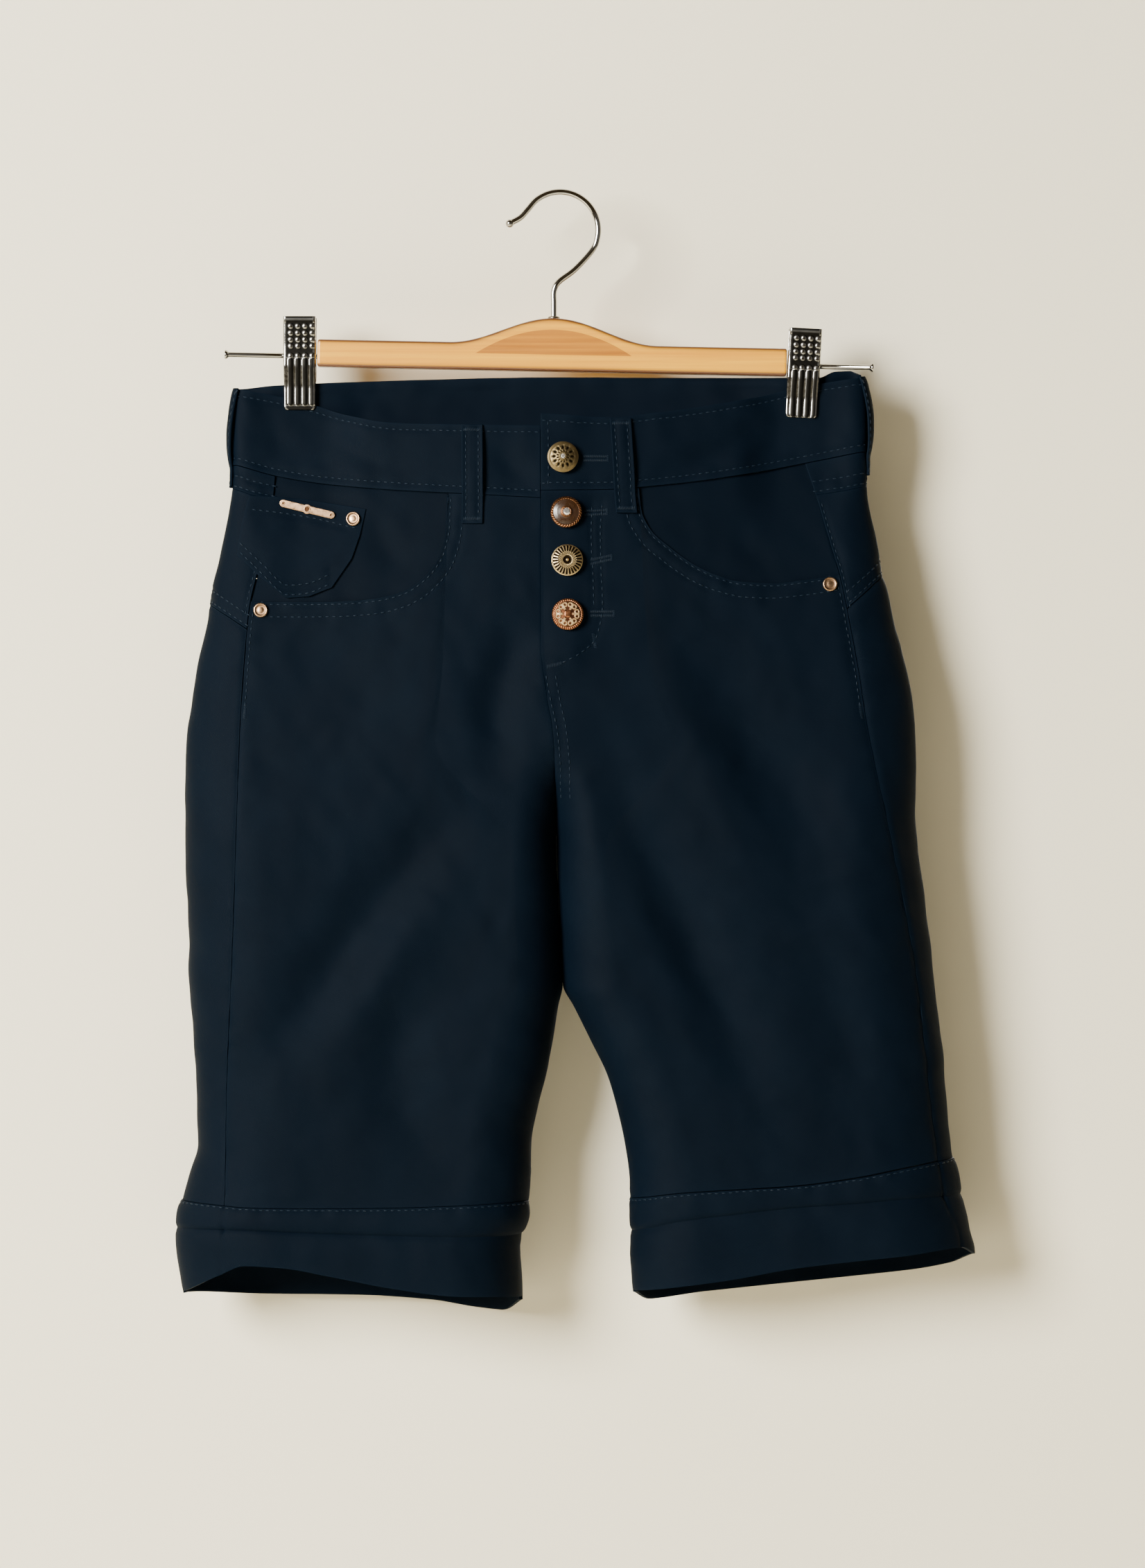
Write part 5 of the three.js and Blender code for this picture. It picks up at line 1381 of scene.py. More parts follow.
def loop_ends(node):
    """Where a belt loop starts and ends, as ring and z, with its half and extra lift."""
    if node in LOOPS:
        return LOOPS[node]
    side, top, bottom = FRONT_LOOPS[node]
    ends = [(float(ring_at(side, x, z)), z) for x, z in (top, bottom)]
    return side, ends[0], ends[1], 0


def loop_rise(share, extra):
    """How far a loop stands off the shell at a share of its length: an arch over the waistband."""
    seat = lerp(WAISTBAND_CLOTH / 2, CLOTH / 2, smooth(0.72, 0.82, share)) + SEAM_GAP + CLOTH / 2 + extra
    return seat + LOOP_ARCH * np.sin(np.pi * np.clip(share / 0.8, 0, 1))


def build_loop(node):
    side, top, bottom, extra = loop_ends(node)
    u, v = grid_of(ticks(LOOP_WIDTH, 1.2, (0.4, 0.9, 1.6)), ticks(56, 1.3, (0.4, 0.9, 1.6)))
    z = lerp(top[1], bottom[1], v)
    width = LOOP_WIDTH * (0.68 if "side" in node else 1)
    ring = shift_ring(side, lerp(top[0], bottom[0], v), z, (u - 0.5) * width)
    rise = loop_rise(v, extra)
    points, normals = on_shell(side, ring, z, rise)
    seams = []
    for offset in LOOP_ROWS:
        line_z = np.linspace(top[1] - 2, bottom[1] + 2, 60)
        share = (line_z - top[1]) / (bottom[1] - top[1])
        line_ring = shift_ring(side, lerp(top[0], bottom[0], share), line_z, offset)
        lifted = np.interp(share, v[:, 0], rise[:, 0])
        seams.append(on_shell(side, line_ring, line_z, lifted)[0])
    return cloth_piece(
        node, points, normals, CLOTH, "cloth", (0.0115, 0.058, 0.00066), held="stretched",
        on=("waistband_back",) if "back" in node else ("waistband_front_" + node[-1],), seams=seams,
    )


# The curved stitching of the fly
FLY_CURVE = (
    (23, -168.9), (21.9, -186.6), (22.4, -208.5), (23, -225.2), (21.3, -236.5), (18.5, -244.1), (8.6, -252),
    (0.8, -255.8),
)
FLY_CURVE_INNER = ((17.4, -170), (17, -188.5), (18, -208.5), (18.5, -225.2))
CENTRE_FRONT = (
    ((-7.6, -262), (-5.0, -276), (-1.6, -292), (0.4, -312), (1, -330)),
    ((-2.4, -262), (0, -276), (3.4, -292), (5.4, -312), (6, -330)),
)


# Stitches

def stitch_spots(node, line, pitch):
    """Points, tangents and normals at even steps where a line lies on a piece's outer face."""
    tree, half = SEWN[node]
    reach = reach_along(line)
    count = max(1, int(reach[-1] // pitch))
    middles = (np.arange(count) + 0.5) * reach[-1] / count
    found = []
    for middle in middles:
        here, ahead = (
            np.array([np.interp(place, reach, line[:, axis]) for axis in range(3)])
            for place in (middle, middle + 0.3))
        spot, normal, _, _ = tree.find_nearest(Vector(here * MM))
        if spot is None:
            continue
        away = Vector(here * MM) - spot
        beyond = away - normal * away.dot(normal)
        if beyond.length > 0.0004 or away.length > 0.0045:
            continue
        tangent = Vector(ahead - here)
        tangent = tangent - normal * tangent.dot(normal)
        if tangent.length > 1e-6:
            found.append((spot + normal * half * MM, tangent.normalized(), normal))
    return found


def add_stitches(name, rows, sides=6, rings=4):
    """One piece from rows of stitches, each with its spots, stitch length, width and turn."""
    bm = bmesh.new()
    part = bmesh.new()
    count = 0
    for spots, length, width, turn in rows:
        for point, tangent, normal in spots:
            along_it = Matrix.Rotation(turn, 3, normal) @ tangent
            across = normal.cross(along_it)
            frame_of = Matrix(
                (across * width / 2, normal * width * 0.42, along_it * length / 2)).transposed()
            matrix = Matrix.Translation(point + normal * width * 0.1) @ frame_of.to_4x4()
            bmesh.ops.create_uvsphere(part, u_segments=sides, v_segments=rings, radius=1.0, matrix=matrix)
            count += 1
            if count % 16 == 0:
                pour(part, bm)
                part = bmesh.new()
    pour(part, bm)
    bmesh.ops.recalc_face_normals(bm, faces=bm.faces)
    return add_piece(name, bm, thread())


def pour(part, whole):
    """Moves a small bmesh into a large one."""
    carrier = bpy.data.meshes.new("carrier")
    part.to_mesh(carrier)
    part.free()
    whole.from_mesh(carrier)
    bpy.data.meshes.remove(carrier)


def row(node, line):
    cloth = bpy.context.scene.shorts_cloth
    spots = stitch_spots(node, line, cloth.stitch_pitch / MM)
    return spots, cloth.stitch_length, cloth.thread_width, 0.0


def bartack(node, start, end, width=2.4):
    """A dense zigzag between two points of the shell."""
    line = np.linspace(np.array(start, float), np.array(end, float), 12)
    return stitch_spots(node, line, 0.62), width * MM, 0.0005, math.radians(74)


def fly_spot(side, x, z):
    return shell_spot(side, ring_at(side, x, z), z)


def build_front_stitches():
    rows = []
    for side in "RL":
        node = "front_panel_" + side
        for offset in MOUTH_ROWS:
            rows.append(row(node, mouth_seam(side, offset)))
        rows.append(row(node, side_seam(side, MOUTH[side]["z"][0] - 2, -280, SIDE_ROW)))
        low = side_seam(side, -278, -286, SIDE_ROW)
        rows.append(bartack(node, low[0], low[-1], 2.0))
        rows.append(row("cuff_" + side, cross_seam(side, CUFF, "stitch", CUFF_ROW, 0.03, 1.0)))
        end = mouth_seam(side, 5)[3]
        rows.append(bartack(node, end, end + np.array([0, 0, 7.0]), 2.0))
    for stops in (FLY_CURVE, FLY_CURVE_INNER, *CENTRE_FRONT):
        rows.append(row("front_panel_L", front_line("L", *stops)))
    rows.append(bartack("front_panel_L", fly_spot("L", -7, -258), fly_spot("L", 1, -256)))
    rows.append(bartack("front_panel_L", fly_spot("L", 18, -240), fly_spot("L", 19.4, -248)))
    rows.append(row("coin_pocket", front_line("R", (-168, -172.2), (-140, -175.8), (-110, -182.6))))
    low = COIN_POCKET["bottom"]
    for inset in (1.7, 7.0):
        stops = [
            (x + (1.2 if x < -148 else -1.2) * (x != POINT_X), z + inset)
            for x, z in zip(low["x"], low["z"])]
        rows.append(row("coin_pocket", front_line("R", *stops)))
    return add_stitches("front_stitches", rows)


def build_back_stitches():
    rows = []
    for side in "RL":
        for offset in YOKE_ROWS:
            rows.append(row("back_yoke_" + side, cross_seam(side, YOKE, "yoke", offset, -1.0, 0.4)))
            rows.append(row("back_band_" + side, cross_seam(side, YOKE, "band", offset, -1.0, 0.4)))
        rows.append(row("back_yoke_" + side, side_seam(side, -168, -230, YOKE_SIDE_ROW)))
        rows.append(row("cuff_" + side, cross_seam(side, CUFF, "stitch", CUFF_ROW, -1.0, 0.03)))
    for offset in CENTRE_BACK_ROWS:
        for node, top, bottom in (
                ("back_panel_L", -208, -312), ("back_yoke_L", -160, -206), ("back_band_L", -144, -158)):
            rows.append(row(node, level_line("L", -1.0, top, bottom, offset)))
    return add_stitches("back_stitches", rows)


WAISTBANDS = {
    "waistband_front_R": ("R", 0, 1, (0.17, 0.044, 0.00665)),
    "waistband_front_L": ("L", 0, 1, (0.17, 0.044, 0.0072)),
    "waistband_back": ("R", 0, -2, (0.36, 0.05, 0.0149)),
}


def build_waist_stitches():
    rows = []
    for node, (side, start, end, _) in WAISTBANDS.items():
        low, high = sorted((start, end))
        for column, offset in WAISTBAND_ROWS.items():
            rows.append(row(node, cross_seam(side, WAIST, column, offset, low, high)))
    rows.append(row("waistband_front_L", front_line("L", (-6.4, -124), (-6.4, -160))))
    for node in (*FRONT_LOOPS, *LOOPS):
        side, top, bottom, extra = loop_ends(node)
        z = np.linspace(top[1] - 1, bottom[1] + 1, 60)
        share = (z - top[1]) / (bottom[1] - top[1])
        rise = loop_rise(share, extra)
        ring = lerp(top[0], bottom[0], share)
        for offset in LOOP_ROWS:
            rows.append(row(node, on_shell(side, shift_ring(side, ring, z, offset), z, rise)[0]))
        ends = [on_shell(side, shift_ring(side, ring, z, offset), z, rise)[0] for offset in (-4.8, 4.8)]
        rows.append(bartack(node, ends[0][-3], ends[1][-3]))
        rows.append(bartack(node, ends[0][2], ends[1][2]))
    return add_stitches("waist_stitches", rows)


# Buttonholes on the left front: piece, start and end as x and z
BUTTONHOLES = (
    ("waistband_front_L", (12.7, -144.7), (25.4, -144.7)),
    ("front_panel_L", (13, -174.2), (25, -173.8)),
    ("front_panel_L", (16.4, -201.2), (27.4, -198.8)),
    ("front_panel_L", (16.4, -229.1), (28.7, -229.1)),
)


def build_buttonholes():
    rows = []
    for node, start, end in BUTTONHOLES:
        for shift in BUTTONHOLE_ROWS:
            line = np.linspace(*[fly_spot("L", x, z + shift) for x, z in (start, end)], 14)
            rows.append((stitch_spots(node, line, 0.55), 0.0019, 0.0005, math.radians(80)))
        tip = [fly_spot("L", end[0] + 0.6, end[1] + shift) for shift in (-1.8, 1.8)]
        rows.append((stitch_spots(node, np.linspace(*tip, 8), 0.6), 0.0016, 0.0005, math.radians(84)))
    return add_stitches("buttonholes", rows)


# Metal trims

def rim_profile(radius, dome):
    """A button's profile, from the shank up over the rim to the middle of the face."""
    low = [(0, 0), (4, 0), (4, 1.2), (radius - 0.5, 1.2), (radius, 1.7), (radius, 2.3)]
    face = np.linspace(radius - 0.25, 0, 44)
    knots = [0, 0.25 * radius, 0.6 * radius, radius - 0.7, radius]
    heights = [2.7 + dome, 2.7 + 0.95 * dome, 2.7 + 0.6 * dome, 2.7, 2.3]
    high = np.interp(face, knots, heights)
    radii = np.concatenate([[r for r, _ in low], face])
    return radii, np.concatenate([[h for _, h in low], high])


def bead(angle, count, offset=0.0):
    """Rounded beads around a circle, from 0 between them to 1 on their tops."""
    return np.abs(np.cos((angle + offset) * count / 2)) ** 0.8


def window(low, high, soft, value):
    return smooth(low - soft, low + soft, value) * (1 - smooth(high - soft, high + soft, value))


def domed_relief(radius, angle, height):
    """Almond pits round a crystal, with petals between the inner ones."""
    face = height > 2.55
    turn = 2 * np.pi / 12
    to_pit = (np.mod(angle + turn / 2, turn) - turn / 2) * radius
    to_inner = (np.mod(angle, turn) - turn / 2) * radius
    pits = np.exp(-((radius - 5.0) / 0.95) ** 2 - (to_pit / 0.62) ** 2)
    inner = np.exp(-((radius - 3.0) / 0.5) ** 2 - (to_inner / 0.42) ** 2)
    hollows_and_painted_reflection = np.clip(pits * 1.5 + inner, 0, 1) * face
    rise = (0.25 * window(1.6, 2.4, 0.2, radius) + 0.18 * window(6.4, 7.2, 0.3, radius)) * face
    return rise - 0.55 * pits * face - 0.3 * inner * face, hollows_and_painted_reflection, np.zeros_like(hollows_and_painted_reflection)


def roped_relief(radius, angle, height):
    """A smooth enamel face inside a twisted rope rim."""
    face = height > 2.2
    twist = bead(angle + radius * 0.12, 34)
    rim = window(7.1, 8.5, 0.2, radius) * face
    bezel = window(2.3, 3.0, 0.15, radius) * face
    enamel = window(3.1, 7.0, 0.1, radius) * face
    return 0.55 * rim * twist + 0.5 * bezel - 0.15 * enamel, (1 - twist) * rim * 0.9, enamel


def basket_relief(radius, angle, height):
    """Woven radial ribs round a dark hole."""
    face = height > 2.2
    woven = window(2.9, 8.0, 0.2, radius) * face
    ribs = np.cos(angle * 26)
    rings = np.cos(radius * 2 * np.pi / 1.25)
    split = smooth(4.4, 5.0, radius)
    woven_in = 0.5 + 0.5 * ribs * np.sign(rings) * np.sqrt(np.abs(rings))
    lattice = lerp(woven_in, smooth(-0.1, 0.6, np.cos(angle * 26 + 0.9)), split)
    hole = (1 - smooth(1.9, 2.5, radius)) * face
    bezel = window(2.4, 3.0, 0.12, radius) * face
    hollows_and_painted_reflection = np.clip((1 - lattice) * woven + hole, 0, 1)
    return 0.5 * lattice * woven + 0.3 * bezel - 1.0 * hole, hollows_and_painted_reflection, np.zeros_like(hollows_and_painted_reflection)


def scroll_relief(radius, angle, height):
    """Six pairs of raised scrolls inside a beaded rim."""
    face = height > 2.2
    sixth = np.pi / 3
    within = np.mod(angle + sixth / 2, sixth) - sixth / 2
    x = radius * np.cos(within)
    z = np.abs(radius * np.sin(within))
    curl = np.hypot(x - 5.1, z - 1.25)
    scroll = np.exp(-((curl - 1.05) / 0.34) ** 2)
    stem = np.exp(-((z - 0.25) / 0.3) ** 2) * window(2.6, 6.4, 0.3, x)
    raised = np.clip(scroll + stem, 0, 1) * window(2.2, 7.0, 0.25, radius) * face
    rim = window(7.4, 8.5, 0.15, radius) * face
    beads = bead(angle, 44)
    to_boss = np.maximum(np.abs(radius * np.cos(angle)), np.abs(radius * np.sin(angle)))
    boss = (1 - smooth(1.4, 1.8, to_boss)) * face
    hollows_and_painted_reflection = np.clip((1 - raised) * window(1.9, 7.1, 0.2, radius) * 0.75 + (1 - beads) * rim, 0, 1)
    return 0.5 * raised + 0.4 * rim * beads + 0.5 * boss, hollows_and_painted_reflection, raised


# Fly buttons: x, z, radius, dome, relief, crystal radius and its shift across, metal
BUTTONS = {
    "button_1": (1.6, -144.5, 8.4, 2.6, domed_relief, 1.5, 0.0, "antique_gold"),
    "button_2": (3.3, -174.5, 8.5, 1.6, roped_relief, 2.2, 0.35, "brown_enamel"),
    "button_3": (3.9, -200.6, 8.5, 1.3, basket_relief, 0.0, 0.0, "pale_gold"),
    "button_4": (4.3, -229.9, 8.6, 1.9, scroll_relief, 0.0, 0.0, "copper"),
}


def button_metal(slot):
    if slot == "antique_gold":
        return metal("Antique gold", (0.2, 0.15, 0.075), (0.008, 0.006, 0.003), 0.5)
    if slot == "brown_enamel":
        return metal(
            "Copper and brown enamel", (0.22, 0.1, 0.045), (0.03, 0.012, 0.006), 0.4, 0.1,
            (0.022, 0.009, 0.003))
    if slot == "pale_gold":
        return metal("Pale gold", (0.5, 0.38, 0.2), (0.008, 0.005, 0.003), 0.15)
    return metal("Copper and cream", (0.36, 0.15, 0.07), (0.05, 0.018, 0.009), 0.4, 0.1, (0.36, 0.25, 0.12))


def spot_on(side, x, z, lift):
    """A point in metres on the front, lifted off the shell, and its outward direction."""
    point, normal = on_shell(side, ring_at(side, x, z), z, lift)
    return point * MM, normal


def build_button(node):
    x, z, radius, dome, relief, stone, shift, slot = BUTTONS[node]
    lift = LAP_RISE + (WAISTBAND_CLOTH if z > -160 else CLOTH) / 2 + SEAM_GAP
    point, normal = spot_on("L", x, z, lift)
    bm = relief_disc(*rim_profile(radius, dome), 208, relief)
    place_on(bm, point, normal)
    made = [add_piece(node + "_face", bm, button_metal(slot), (node,), 50)]
    if stone:
        gem = relief_disc((0, stone, stone, stone * 0.55, 0), (0, 0, 0.25, 0.95, 0.95), 10)
        over = Vector((shift * MM, 0, 0)) + Vector(normal) * (2.62 + dome) * MM
        place_on(gem, Vector(point) + over, normal, 0.2)
        made.append(add_piece(node + "_crystal", gem, crystal(), (), 10))
        teeth = relief_disc(*bezel_profile(stone), 48, claws)
        place_on(teeth, Vector(point) + over, normal)
        made.append(add_piece(node + "_bezel", teeth, button_metal(slot), (), 50))
    elif slot == "pale_gold":
        ball = bmesh.new()
        middle = Vector(point) + Vector(normal) * (2.0 + dome) * MM
        bmesh.ops.create_uvsphere(
            ball, u_segments=18, v_segments=12, radius=0.9 * MM, matrix=Matrix.Translation(middle))
        made.append(add_piece(node + "_ball", ball, button_metal(slot)))
    return made


def bezel_profile(stone):
    radii = stone + np.array([-0.05, 0.55, 0.6, 0.4, 0.1, -0.1, -0.05])
    return radii, np.array([-0.1, -0.1, 0.25, 0.55, 0.62, 0.45, -0.1])


def claws(radius, angle, height):
    raised = bead(angle, 12) * (height > 0.2)
    return 0.16 * raised, (1 - raised) * 0.6 * (height > 0.2), np.zeros_like(raised)


# Rivets: half, x, z
RIVETS = {
    "rivet_pocket_R": ("R", -162.3, -227.2),
    "rivet_pocket_L": ("L", 146.4, -213.1),
    "rivet_coin": ("R", -112.2, -177.5),
}


def rose_metal():
    return metal("Rose metal", (0.5, 0.32, 0.19), (0.06, 0.028, 0.014), 0.3, 0.12)


def build_rivet(node):
    side, x, z = RIVETS[node]
    surface = coin_lift(x) + COIN_POCKET_CLOTH / 2 if node == "rivet_coin" else CLOTH / 2
    point, normal = spot_on(side, x, z, surface + SEAM_GAP)
    radii = (0, 3.7, 3.9, 3.9, 3.75, 3.45, 3.15, 2.85, 2.6, 2.2, 1.6, 1.3, 1.1, 0.7, 0)
    heights = (0, 0, 0.2, 0.75, 1.15, 1.4, 1.36, 1.18, 1.02, 0.98, 1.0, 1.06, 1.1, 1.14, 1.15)

    def ringed(radius, angle, height):
        hollows_and_painted_reflection = window(2.3, 2.9, 0.2, radius) * (height > 0.9)
        return np.zeros_like(height), hollows_and_painted_reflection * 0.8, np.zeros_like(height)

    bm = relief_disc(radii, heights, 48, ringed)
    place_on(bm, point, normal)
    return add_piece(node + "_head", bm, rose_metal(), (node,), 50)


PLATE = {"x": -137.3, "z": -172, "length": 31, "height": 4, "thick": 0.8, "tilt": 13.8, "boss": 2.6}


def plate_place():
    """The matrix that seats the plate on the coin pocket."""
    half = PLATE["length"] / 2
    tilt = math.radians(PLATE["tilt"])
    share = np.array([-1.0, 0.0, 1.0])
    x = PLATE["x"] + share * math.cos(tilt) * half
    z = PLATE["z"] - share * math.sin(tilt) * half
    lift = coin_lift(x) + COIN_POCKET_CLOTH / 2 + 2 * SEAM_GAP
    y = on_shell("R", ring_at("R", x, z), z, lift)[0][:, 1]
    yaw = math.atan2(y[2] - y[0], x[2] - x[0])
    seat = min(y[1], (y[0] + y[2]) / 2)
    turn = Matrix.Rotation(yaw, 4, "Z") @ Matrix.Rotation(tilt, 4, "Y")
    return shifted(PLATE["x"], seat, PLATE["z"]) @ turn


def build_plate():
    half = PLATE["length"] / 2
    radius = PLATE["height"] / 2
    x = np.concatenate([
        -half + radius * (1 - np.cos(np.linspace(0.12, np.pi / 2, 9))),
        np.linspace(-half + radius + 0.6, -3.2, 24),
        np.linspace(-2.9, 2.9, 25), np.linspace(3.2, half - radius - 0.6, 24),
        half - radius * (1 - np.cos(np.linspace(np.pi / 2, 0.12, 9))),
    ])
    to_end = np.clip(half - np.abs(x), 0, radius)
    reach = np.sqrt(np.maximum(radius ** 2 - (radius - to_end) ** 2, 0.01))
    reach = np.maximum(reach, np.sqrt(np.maximum(PLATE["boss"] ** 2 - x ** 2, 0)))
    turn = np.linspace(0, 2 * np.pi, 41)
    face = np.sign(np.cos(turn)) * np.abs(np.cos(turn)) ** 0.35
    depth = np.sign(np.sin(turn)) * np.abs(np.sin(turn)) ** 0.35
    points = np.zeros((len(x), len(turn), 3))
    points[..., 0] = x[:, None]
    points[..., 2] = reach[:, None] * face
    points[..., 1] = -PLATE["thick"] / 2 * (1 + depth)
    bm = close_up(bent_grid(points * MM, wrap=True))
    move(bm, plate_place())
    made = [add_piece("plate_body", bm, rose_metal(), ("plate",), 40)]
    eyelets = bmesh.new()
    for spot, size in ((-half + radius, 0.95), (half - radius, 0.95), (0, 1.7)):
        radii = np.array([size, size, size - 0.12, size - 0.3, size - 0.42, size - 0.5, 0])
        ring = relief_disc(radii, (0, 0.28, 0.42, 0.42, 0.3, 0.06, 0.06), 28, eyelet_marks)
        place_on(ring, (spot * MM, -(PLATE["thick"] - 0.04) * MM, 0), (0, -1, 0))
        pour(ring, eyelets)
    move(eyelets, plate_place())
    made.append(add_piece("plate_eyelets", eyelets, rose_metal(), (), 50))
    return made


def eyelet_marks(radius, angle, height):
    return np.zeros_like(height), (height < 0.1) * (radius < 1.3) * 1.0, np.zeros_like(height)


# Hanger

HANGER = {"centre": -3.4, "pivot": -87, "tilt": 1.15}
BAR = {
    "left": -132.1, "right": 123.6, "top": -81.6, "bottom": -96.5, "thick": 11, "bevel": 1.2, "hump": 14,
    "hump_half": 57,
}
INLAY = {"half": 42.5, "bottom": -87.6, "height": 13.6}
ROD = {"radius": 1.4, "z": -90.7, "left": -183, "right": 171.2, "cap": 2.6}
HOOK = {"radius": 20.8, "centre": -19.15, "stem": -3.4, "bottom": -66.9, "wire": 3.3, "ball": 2.3}
CLIPS = {
    "R": {"x": -141.8, "top": -66.8, "bottom": -117.4, "lean": 0},
    "L": {"x": 133.9, "top": -73.4, "bottom": -121.7, "lean": 3},
}
CLIP = {"width": 17, "sheet": 1.1}
JAW = ((6.6, 0), (5, -16), (5, -27), (2.45, -38))
SPRING = {"outer": 4.6, "half": 6, "wire": 0.95, "turns": 7}


def hanger_place():
    """From the level hanger, with x from its centre, to the tilted one."""
    centre = shifted(HANGER["centre"], 0, HANGER["pivot"])
    turn = Matrix.Rotation(math.radians(HANGER["tilt"]), 4, "Y")
    return centre @ turn @ shifted(0, 0, -HANGER["pivot"])


def bar_height(x):
    share = np.clip(np.abs(x) / BAR["hump_half"], 0, 1)
    return BAR["top"] + BAR["hump"] * np.cos(share * np.pi / 2) ** 2


def round_section(half_depth, low, high, radius, points=44):
    """A rectangle with round corners, as y and z."""
    corner = np.linspace(0, np.pi / 2, 7)
    loop = []
    for turn, y, z in ((0, 1, 1), (1, -1, 1), (2, -1, 0), (3, 1, 0)):
        angle = corner + turn * np.pi / 2
        cy = y * (half_depth - radius)
        cz = (high - radius) if z else (low + radius)
        loop += [(cy + radius * math.cos(a), cz + radius * math.sin(a)) for a in angle]
    loop.append(loop[0])
    loop = np.array(loop)
    reach = reach_along(loop)
    place = np.linspace(0, reach[-1], points + 1)
    return np.interp(place, reach, loop[:, 0]), np.interp(place, reach, loop[:, 1])


def build_bar():
    left = BAR["left"] - HANGER["centre"]
    right = BAR["right"] - HANGER["centre"]
    bevel = BAR["bevel"]
    ends = np.array([0, 0.08, 0.3, 0.7, 1.2, 1.8])
    x = np.concatenate([left + ends, np.linspace(left + 4, right - 4, 150), right - ends[::-1]])
    gap = np.clip(np.minimum(x - left, right - x), 0, bevel)
    inset = bevel - np.sqrt(np.maximum(bevel ** 2 - (bevel - gap) ** 2, 0))
    rows = []
    edge = []
    for place, trim in zip(x, inset):
        high = float(bar_height(place))
        y, z = round_section(BAR["thick"] / 2 - trim, BAR["bottom"] + trim, high - trim, 1.6, 72)
        rows.append(np.stack([np.full_like(y, place), y, z], axis=-1))
        to_line = np.minimum(np.abs(z - high), np.abs(z - BAR["bottom"]))
        under = np.clip((BAR["bottom"] + 2.0 - z) / 1.2, 0, 1)
        edge.append(np.maximum(np.exp(-(to_line / 1.6) ** 2) * (np.abs(y) > 3.2), under))
    bm = close_up(bent_grid(np.array(rows) * MM, wrap=True, marks={"edge": np.array(edge)}))
    move(bm, hanger_place())
    material = wood("Varnished yellow wood", (0.76, 0.37, 0.004), (0.54, 0.2, 0.001), 1.9)
    return add_piece("hanger_bar_body", bm, material, ("hanger_bar",), 50)


def build_inlay():
    x, v = grid_of(np.linspace(-INLAY["half"], INLAY["half"], 90), np.linspace(0, 1, 16))
    rise = INLAY["height"] * (1 - (x / INLAY["half"]) ** 2)
    points = np.stack([x, np.full_like(x, -BAR["thick"] / 2 - 0.12), INLAY["bottom"] + rise * v], axis=-1)
    bm = bent_grid(points * MM)
    edge_rows = [edge for edge in bm.edges if edge.is_boundary]
    grown = bmesh.ops.extrude_edge_only(bm, edges=edge_rows)
    moved = [item for item in grown["geom"] if isinstance(item, bmesh.types.BMVert)]
    bmesh.ops.translate(bm, verts=moved, vec=(0, 0.7 * MM, 0))
    close_up(bm, 2e-6)
    move(bm, hanger_place())
    material = wood("Dark inlay wood", (0.48, 0.19, 0.002), (0.27, 0.085, 0.001), 2.2)
    return add_piece("hanger_inlay_body", bm, material, ("hanger_inlay",), 40)


def spline(stops, steps):
    """A smooth path through stops."""
    stops = np.asarray(stops, float)
    path = []
    padded = np.concatenate([[2 * stops[0] - stops[1]], stops, [2 * stops[-1] - stops[-2]]])
    share = np.linspace(0, 1, steps, endpoint=False)[:, None]
    for a, b, c, d in zip(padded, padded[1:], padded[2:], padded[3:]):
        path.append(0.5 * (
            2 * b + (c - a) * share + (2 * a - 5 * b + 4 * c - d) * share ** 2
            + (3 * b - a - 3 * c + d) * share ** 3))
    return np.concatenate([*path, stops[-1:]])


def build_hook():
    stops = [(HOOK["stem"], HOOK["bottom"]), (HOOK["stem"], HOOK["bottom"] + 8), (HOOK["stem"] + 0.1, -52.5)]
    stops += [(-0.6, -47.4), (8.2, -40.6)]
    for angle in np.radians(np.linspace(-32, 148, 10)):
        stops.append((HOOK["radius"] * math.cos(angle), HOOK["centre"] + HOOK["radius"] * math.sin(angle)))
    stops += [(-21.6, -12.4), (-27.4, -15.6)]
    path = spline([(x, 0, z) for x, z in stops], 9)
    bm = tube(path * MM, HOOK["wire"] / 2 * MM, 20)
    tip = Vector(path[-1]) * MM
    bmesh.ops.create_uvsphere(
        bm, u_segments=24, v_segments=16, radius=HOOK["ball"] * MM, matrix=Matrix.Translation(tip))
    made = [add_piece("hanger_hook_wire", bm, chrome(), ("hanger_hook",), 60)]
    collar = relief_disc((1.7, 3.1, 3.3, 3.1, 2.4, 1.7, 1.7), (-0.4, -0.4, 0, 0.5, 0.9, 0.9, -0.4), 32)
    place_on(collar, (HOOK["stem"] * MM, 0, (HOOK["bottom"] - 0.3) * MM), (0, 0, 1))
    dark = chrome("Dark collar", (0.2, 0.17, 0.14), 0.3)
    made.append(add_piece("hook_collar", collar, dark, (), 50))
    return made


def build_rod(side):
    inner = (BAR["left"] if side == "R" else BAR["right"]) - HANGER["centre"]
    end = (ROD["left"] if side == "R" else ROD["right"]) - HANGER["centre"]
    sign = -1 if side == "R" else 1
    length = abs(end - inner) - SEAM_GAP
    radii = (0, ROD["radius"], ROD["radius"], 1.7, 2.3, ROD["cap"], 2.45, 2.0, 1.2, 0)
    heights = (0, 0, *(length - below for below in (2.4, 2.1, 1.4, 0.7, 0.25, 0.05, 0, 0)))
    bm = relief_disc(radii, heights, 28)
    place_on(bm, ((inner + sign * SEAM_GAP) * MM, 0, ROD["z"] * MM), (sign, 0, 0))
    move(bm, hanger_place())
    return add_piece("hanger_rod_body_" + side, bm, chrome(), ("hanger_rod_" + side,), 50)


